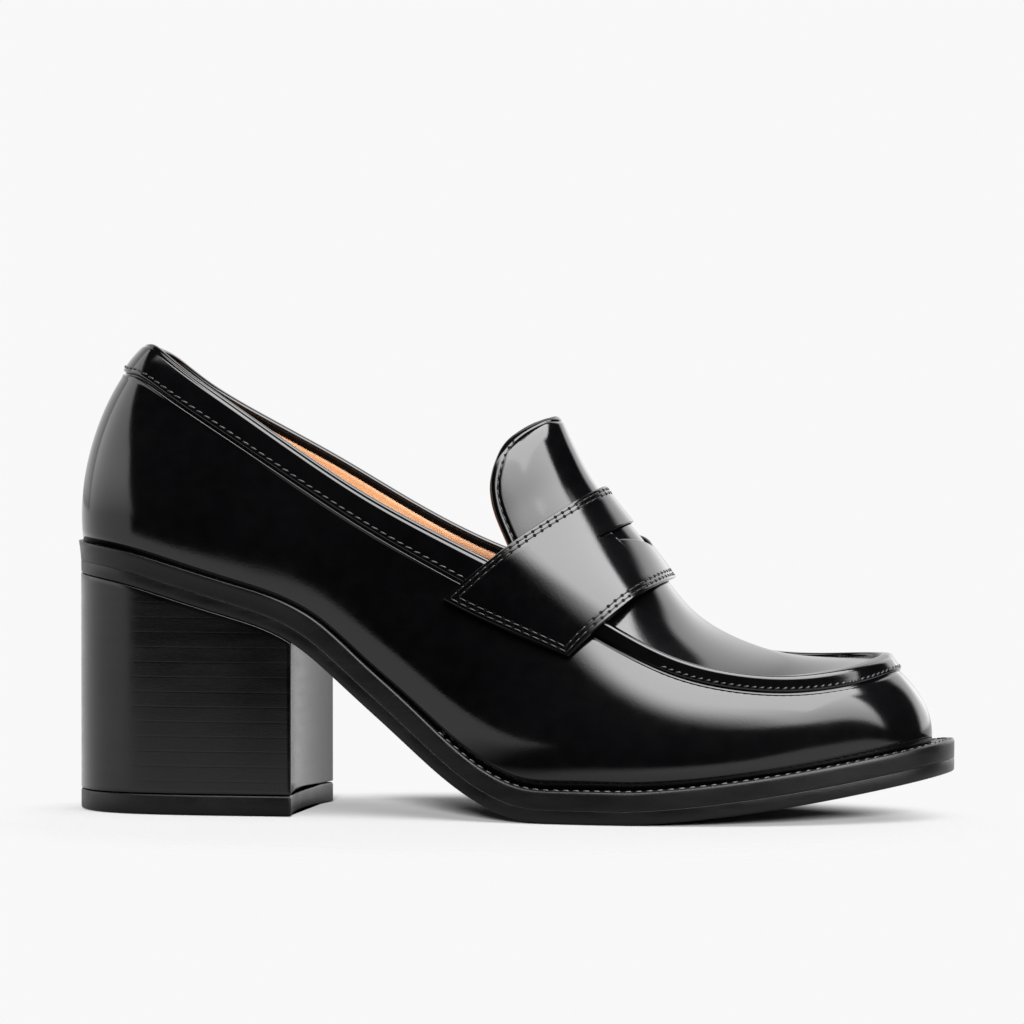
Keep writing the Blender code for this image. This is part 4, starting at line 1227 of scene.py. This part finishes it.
# Leather grain: small rounded cells with fine noise over them, as a height from 0 to 1.
def makeGrainGroup():
    tree, given, out = newGroup("leatherGrain", [("Vector", "Vector", None), ("Scale", "Float", 900.0),
                                                 ("Cells", "Float", 0.6)], [("Height", "Float")])
    cells = addNode(tree, "TexVoronoi", {"Vector": given["Vector"], "Scale": given["Scale"],
                                         "Smoothness": 0.6}, feature="SMOOTH_F1")
    fine = addNode(tree, "TexNoise", {"Vector": given["Vector"], "Detail": 4.0,
                                      "Scale": maths(tree, "MULTIPLY", given["Scale"], 2.2)})
    mix = addNode(tree, "Mix", {"Factor": given["Cells"], "A": fine.outputs["Fac"],
                                "B": cells.outputs["Distance"]})
    feed(tree, out, {"Height": mix.outputs["Result"]})
    return tree


# Slow changes over a surface, such as polish and handling: a mask from two sizes of noise.
def makeWearGroup():
    tree, given, out = newGroup("handledSurface",
                                [("Vector", "Vector", None), ("Scale", "Float", 22.0),
                                 ("Colour", "Color", None), ("Worn Colour", "Color", None),
                                 ("Roughness Low", "Float", 0.1), ("Roughness High", "Float", 0.2)],
                                [("Colour", "Color"), ("Roughness", "Float")])
    many = maths(tree, "MULTIPLY", given["Scale"], 14.0)
    slow, fine = (addNode(tree, "TexNoise", {"Vector": given["Vector"], "Scale": scale, "Detail": 3.0})
                  for scale in (given["Scale"], many))
    both = addNode(tree, "Mix", {"Factor": 0.35, "A": slow.outputs["Fac"], "B": fine.outputs["Fac"]})
    mask = shareOf(tree, both.outputs["Result"], 0.36, 0.66, "LINEAR")
    colour = addNode(tree, "Mix", {"Factor": mask, 6: given["Colour"], 7: given["Worn Colour"]},
                     data_type="RGBA")
    rough = addNode(tree, "MapRange", {"Value": mask, "To Min": given["Roughness Low"],
                                       "To Max": given["Roughness High"]})
    feed(tree, out, {"Colour": colour.outputs[2], "Roughness": rough.outputs["Result"]})
    return tree


grainGroup, wearGroup = makeGrainGroup(), makeWearGroup()


# The thin lines between leather layers, from the height on the block, cut into a normal.
def layerLines(tree, place, normal, layers):
    first, pitch = layers
    height = addNode(tree, "SeparateXYZ", {"Vector": place}).outputs["Z"]
    fold = maths(tree, "PINGPONG", maths(tree, "SUBTRACT", height, first), pitch / 2)
    cut = addNode(tree, "Bump", {"Height": shareOf(tree, fold, *layerCut["soft"]), "Normal": normal,
                                 "Strength": layerCut["strength"], "Distance": layerCut["depth"]})
    return cut.outputs["Normal"]


# A finish from its entry: handled colour and roughness, a bump from its grain, and any layer lines.
def newFinish(name, entry):
    material = bpy.data.materials.new(name)
    material.use_nodes = True
    tree = material.node_tree
    place = addNode(tree, "TexCoord").outputs["Object"]
    squeeze = (1, 1, entry.get("squeeze", 1))
    squeezed = addNode(tree, "Mapping", {"Vector": place, "Scale": squeeze}).outputs["Vector"]
    wear = addNode(tree, "Group", node_tree=wearGroup)
    feed(tree, wear, {"Vector": squeezed, "Scale": entry["wear"], "Colour": (*entry["colour"], 1),
                      "Worn Colour": (*entry["worn"], 1), "Roughness Low": entry["rough"][0],
                      "Roughness High": entry["rough"][1]})
    scale, depth = entry["grain"]
    grain = addNode(tree, "Group", node_tree=grainGroup)
    feed(tree, grain, {"Vector": squeezed, "Scale": scale, "Cells": entry.get("cells", 0.6)})
    bump = addNode(tree, "Bump", {"Strength": 1.0, "Distance": depth, "Height": grain.outputs["Height"]})
    normal = bump.outputs["Normal"]
    if "layers" in entry:
        normal = layerLines(tree, place, normal, entry["layers"])
    feed(tree, tree.nodes["Principled BSDF"],
         {"Base Color": wear.outputs["Colour"], "Roughness": wear.outputs["Roughness"], "Normal": normal,
          "Specular IOR Level": entry.get("specular", 0.5)})
    return material


leather, lining, facingAndHoleShadeFinish, edgeFinish, stack, rubber, thread = \
    (newFinish(name, entry) for name, entry in finish.items())
print("finishes ready")

makeOutsole(edgeFinish)
makeMidsole(edgeFinish)
makeHeel(stack, rubber)
makeInsole(lining)
print("sole built")
makeUpperWall(leather)
makeWallLining(lining)
makeFacing(facingAndHoleShadeFinish)
makePlug(leather, lining)
makeRidge(leather)
print("upper built")
tongueGrid, tongueNormals, tongueAway = makeTongue(leather)
makeStrap(leather)
print("tongue and strap built")

# from or to is a station, lean is in radians, and sunk is how deep the run lies under the surface.
stitches = {
    "collar": {"drop": 8.3 * mm, "pitch": 2.7 * mm, "width": 0.55 * mm, "height": 0.16 * mm, "to": 7.6,
               "lean": 0.12},
    "moc": {"rise": 0.75 * mm, "pitch": 2.1 * mm, "width": 0.62 * mm, "height": 0.20 * mm, "from": 10.75,
            "lean": 0.35, "sunk": 0.1 * mm},
    "welt": {"inset": 2.1 * mm, "pitch": 2.9 * mm, "width": 0.8 * mm, "height": 0.25 * mm, "from": 6.9,
             "lean": 0.25, "sunk": 0.22 * mm},
    "strap": {"pitch": 2.7 * mm, "width": 0.42 * mm, "height": 0.05 * mm, "hole": 0.52 * mm,
              "sunk": 0.06 * mm},
    "tongue": {"pitch": 2.5 * mm, "width": 0.42 * mm, "height": 0.08 * mm, "hole": 0.50 * mm,
               "sunk": 0.22 * mm},
}


# The stitches round the collar lie on the padded band just above its groove.
def makeCollarStitches(entry):
    at = np.mod(np.linspace(-entry["to"], entry["to"], 700), loopCount)
    place, normal = onWall(at, entry["drop"])
    line = place + normal * skinLift(at, np.full((len(at), 1), entry["drop"]))
    addStitches("collar", [(line, normal)], entry, "black_leather")


def makeMocStitches(entry):
    at = np.linspace(entry["from"], loopCount - entry["from"], 900)
    foot, corner, facing = ridgeFace(at)
    line = foot + unit(corner - foot) * entry["rise"] - facing * entry["sunk"]
    addStitches("moc", [(line, facing)], entry, "black_leather")


def makeWeltStitches(entry):
    at = np.linspace(entry["from"], loopCount - entry["from"], 1200)
    line = insetLoop(at, np.full(len(at), entry["inset"]), last["sole"])
    line[:, 2] -= entry["sunk"]
    along = unit(np.gradient(line, axis=0))
    outward = outlineAt(at)[1]
    side = np.column_stack([outward, 0 * at])
    normal = unit(np.cross(along, side))
    normal = normal * np.sign(normal[:, 2:])
    addStitches("welt", [(line, normal)], entry, "black_edge")


# Two rows round the strap, each run at its own distance in from the edges.
def makeStrapStitches(entry):
    runs = []
    total = slotTravelled[-1]
    count, over = 900, strapShape["thick"] - entry["sunk"]
    for inset in strapShape["stitchIn"]:
        where = np.linspace(inset, total - inset, count)
        columns = np.interp(where, slotTravelled, fineColumns)
        whole = strapAt(np.repeat(np.linspace(0, 1, 17)[:, None], len(columns), 1), columns)[0]
        width = np.linalg.norm(np.diff(whole, axis=0), axis=2).sum(0)
        for share in (inset / width, 1 - inset / width):
            place, normal = strapAt(share[None], columns)
            normal = normal[0] * np.sign(normal[0, count // 2, 2])
            runs.append((place[0] + normal * over, normal))
        for end in (inset, total - inset):
            column = np.interp(end, slotTravelled, fineColumns)
            share = np.linspace(inset / width[0], 1 - inset / width[0], 200)
            place, normal = strapAt(share[:, None], np.array([column]))
            outwards = np.sign((normal[:, 0] * np.array([0, np.sign(end - total / 2), 0])).sum(1).mean())
            normal = normal[:, 0] * outwards
            runs.append((place[:, 0] + normal * over, normal))
    addStitches("strap", runs, entry, "black_leather")


# One row round the tongue: the grid points nearest the wanted distance in from its border, row by
# row on each side, and along the last rows over the tip.
def makeTongueStitches(entry):
    half = tongueGrid.shape[1] // 2
    inset = tongueShape["stitchIn"]
    rows = np.nonzero(tongueAway[:, half] > inset)[0]
    sides = []
    for columns in (slice(0, half + 1), slice(None, half - 1, -1)):
        away = tongueAway[rows][:, columns]
        grid, normals = tongueGrid[rows][:, columns], tongueNormals[rows][:, columns]
        k = np.clip((away < inset).sum(1), 1, away.shape[1] - 1)
        i = np.arange(len(rows))
        low, high = away[i, k - 1], away[i, k]
        t = np.clip((inset - low) / np.maximum(high - low, 1e-9), 0, 1)[:, None]
        sides.append((grid[i, k - 1] * (1 - t) + grid[i, k] * t, normals[i, k]))
    line = np.concatenate([sides[0][0], sides[1][0][::-1]])
    normal = np.concatenate([sides[0][1], sides[1][1][::-1]])
    addStitches("tongue", [(line - normal * entry["sunk"], normal)], entry, "black_leather")


makeCollarStitches(stitches["collar"])
makeMocStitches(stitches["moc"])
makeWeltStitches(stitches["welt"])
makeStrapStitches(stitches["strap"])
makeTongueStitches(stitches["tongue"])
print("stitches built")

# Light panels of the studio. Each edge is a plane through the shoe: the side it faces is inside the
# panel, and the last number is how softly it ends, as an angle in radians.
studio = {
    "background": 0.94,
    "floor": -0.0002,
    # pale sheets on the floor that the shoe reflects, each bounded by lines a x + b y + c > 0 with a softness
    "sheets": (((0, 1, 0.44, 0.05), (-1, 0.337, -0.0165, 0.02)), ((-0.839, 1, -0.0623, 0.03),),
               ((0.6, 1, 0.065, 0.014), (0, 1, 0.17, 0.02), (-1, 0, 0.235, 0.02))),
    "dark": 0.006,
    "paper": (0.155, 0.12, -0.04),  # half sizes of the lit paper round the shoe, and its middle across
    "contact": (0.05, 1.3),         # how far round a touching piece the sheet takes its painted contact shade, and the power
    # degrees, and its share of the floor's light
    "lamp": {"turn": 10.0, "rise": 15.0, "angle": 12.0, "share": 0.42},
    "panels": {
        "overhead": {"bright": 11.3, "edges": (((1, 0, -0.085), 0.03), ((-1, 0, 1.10), 0.06),
                                               ((0.47, 1, 0.79), 0.05), ((-0.47, -1, 0.34), 0.04))},
        "front": {"bright": 11.3, "edges": (((0.626, 0.561, 0.542), 0.15), ((0.055, 0.455, 0.889), 0.045),
                                            ((-0.130, -0.963, -0.239), 0.04), ((-0.05, 0.45, 0.95), 0.62))},
        "backdrop": {"bright": 2.6, "edges": (((-0.695, 0.719, 0), 0.09), ((1, 0, 0), 0.30),
                                              ((0, 0.848, -0.53), 0.06), ((0, 0, 1), 0.05))},
        "room": {"bright": 0.9, "edges": (((-0.695, 0.719, 0), 0.09), ((0.53, 0.848, 0), 0.10),
                                          ((0, 0.848, -0.53), 0.06), ((0, 0, 1), 0.05))},
        "leftPanel": {"bright": 2.0,
                      "edges": (((-0.517, 0.378, -0.768), 0.02), ((-0.591, 0.652, -0.473), 0.02),
                                ((-0.537, -0.843, 0), 0.06), ((0, 0, 1), 0.24))},
    },
}


# One panel seen in a direction: its brightness times a soft mask for each of its four edges.
def makePanelGroup():
    edges = [f"Edge {k}" for k in range(4)]
    tree, given, out = newGroup("softPanel", [("Direction", "Vector", None)]
                                + [(edge, "Vector", None) for edge in edges]
                                + [("Bright", "Float", 1.0)], [("Light", "Float")])
    light = given["Bright"]
    for edge in edges:
        dot = addNode(tree, "VectorMath", {0: given["Direction"], 1: given[edge]}, operation="DOT_PRODUCT")
        light = maths(tree, "MULTIPLY", light, shareOf(tree, dot.outputs["Value"], -1.0, 1.0))
    feed(tree, out, {"Light": light})
    return tree


# An edge's plane as one vector whose product with a direction runs from -1 to 1 over its soft part.
def edgeVector(edge):
    normal = np.array(edge[0], float)
    return normal / np.linalg.norm(normal) / edge[1]


# One shader where the share is 0 and another where it is 1.
def mixShaders(tree, share, first, second):
    return addNode(tree, "MixShader", {"Fac": share, 1: first.outputs[0], 2: second.outputs[0]}).outputs[0]


# The world: what the camera sees is the plain background, and what the shoe reflects in each
# direction is the brightest panel there.
def makeStudio():
    group = makePanelGroup()
    world = bpy.data.worlds.new("studio")
    bpy.context.scene.world = world
    world.use_nodes = True
    tree = world.node_tree
    tree.nodes.clear()
    way = addNode(tree, "TexCoord").outputs["Generated"]
    total = studio["dark"]
    for title, panel in studio["panels"].items():
        node = addNode(tree, "Group", node_tree=group, name=title)
        feed(tree, node, {"Direction": way, "Bright": panel["bright"]})
        feed(tree, node, {f"Edge {k}": edgeVector(edge) for k, edge in enumerate(panel["edges"])})
        total = maths(tree, "MAXIMUM", node.outputs["Light"], total)
    lit, plain = (addNode(tree, "Background", {"Color": (1, 1, 1, 1), "Strength": strength})
                  for strength in (total, studio["background"]))
    seen = addNode(tree, "LightPath").outputs["Is Camera Ray"]
    addNode(tree, "OutputWorld", {"Surface": mixShaders(tree, seen, lit, plain)})


# How much light the panels throw on a level floor, as a sum over directions above it, in units of
# a white sky of brightness one.
def floorLight():
    turn, rise = np.meshgrid((np.arange(720) + 0.5) * np.pi / 360, (np.arange(180) + 0.5) * np.pi / 360)
    ways = np.stack([np.cos(turn) * np.cos(rise), np.sin(turn) * np.cos(rise), np.sin(rise)], -1)
    weight = np.sin(rise) * np.cos(rise) * (np.pi / 360) ** 2 / np.pi
    most = np.full(turn.shape, studio["dark"])
    for panel in studio["panels"].values():
        masks = [smoothStep(ways @ edgeVector(edge) / 2 + 0.5) for edge in panel["edges"]]
        most = np.maximum(most, panel["bright"] * np.prod(masks, axis=0))
    return float((most * weight).sum())


# Where the floor's pale sheets lie, from 0 to 1: the brightest of the sheets, each the product of
# its lines' soft steps.
def sheetMask(tree, x, y):
    pale = 0.0
    for lines in studio["sheets"]:
        mask = 1.0
        for a, b, c, soft in lines:
            side = maths(tree, "ADD", maths(tree, "MULTIPLY", x, a), maths(tree, "MULTIPLY", y, b))
            inside = shareOf(tree, maths(tree, "ADD", side, c), -soft, soft)
            mask = maths(tree, "MULTIPLY", mask, inside)
        pale = maths(tree, "MAXIMUM", pale, mask)
    return pale


# The floor: close to the shoe the camera sees paper lit by the panels, which takes the shoe's soft
# shadow, and further out and in reflections a sheet that glows as brightly as the background. In
# reflections that glow is darkened near the shoe by a painted contact shade from ambient occlusion.
def makeFloor():
    mesh = bpy.data.meshes.new("studio_floor")
    size, level = 40, studio["floor"]
    corners = ((-1, -1), (1, -1), (1, 1), (-1, 1))
    mesh.from_pydata([(x * size, y * size, level) for x, y in corners], [], [(0, 1, 2, 3)])
    floor = bpy.data.objects.new("studio_floor", mesh)
    bpy.context.scene.collection.objects.link(floor)
    material = bpy.data.materials.new("paleFloor")
    material.use_nodes = True
    tree = material.node_tree
    tree.nodes.clear()
    distance, power = studio["contact"]
    # Painted contact shade: the reflected glow is multiplied by ambient occlusion, darker where the shoe is
    # close.
    near = addNode(tree, "AmbientOcclusion", {"Distance": distance}, samples=8)
    shade = maths(tree, "POWER", near.outputs["AO"], power)
    split = addNode(tree, "SeparateXYZ", {"Vector": addNode(tree, "TexCoord").outputs["Object"]})
    x, y = split.outputs["X"], split.outputs["Y"]
    seen = addNode(tree, "LightPath").outputs["Is Camera Ray"]
    reflected = maths(tree, "MULTIPLY", shade, sheetMask(tree, x, y))
    strength = maths(tree, "MULTIPLY", maths(tree, "MAXIMUM", seen, reflected), studio["background"])
    glow = addNode(tree, "Emission", {"Strength": strength})
    albedo = studio["background"] / floorLight() * (1 - studio["lamp"]["share"])
    print("floor paper colour", round(albedo, 4))
    paper = addNode(tree, "BsdfDiffuse", {"Color": (albedo, albedo, albedo, 1)})
    wide, deep, middle = studio["paper"]
    acrossAway = maths(tree, "DIVIDE", x, wide)
    deepAway = maths(tree, "DIVIDE", maths(tree, "SUBTRACT", y, middle), deep)
    squares = [maths(tree, "POWER", away, 2.0) for away in (acrossAway, deepAway)]
    away = maths(tree, "SQRT", maths(tree, "ADD", *squares))
    close = maths(tree, "SUBTRACT", 1.0, shareOf(tree, away, 0.7, 1.0))
    surface = mixShaders(tree, maths(tree, "MULTIPLY", close, seen), glow, paper)
    addNode(tree, "OutputMaterial", {"Surface": surface})
    mesh.materials.append(material)
    return floor


# A soft low sun from beside the camera that shines on the floor alone, so that the shoe's shadow
# falls straight behind it.
def makeFloorLamp(entry, floor):
    turn, rise = math.radians(entry["turn"]), math.radians(entry["rise"])
    back = Vector((math.sin(turn) * math.cos(rise), -math.cos(turn) * math.cos(rise), math.sin(rise)))
    lamp = bpy.data.objects.new("floor_lamp", bpy.data.lights.new("floor_lamp", "SUN"))
    lamp.data.angle = math.radians(entry["angle"])
    lamp.data.energy = math.pi * floorLight() * entry["share"] / (1 - entry["share"]) / math.sin(rise)
    lamp.rotation_mode = "QUATERNION"
    lamp.rotation_quaternion = back.to_track_quat("Z", "Y")
    lit = bpy.data.collections.new("floor_only")
    lit.objects.link(floor)
    lamp.light_linking.receiver_collection = lit
    bpy.context.scene.collection.objects.link(lamp)


makeStudio()
makeFloorLamp(studio["lamp"], makeFloor())
bpy.context.scene.view_settings.view_transform = "Standard"
print("studio lit")
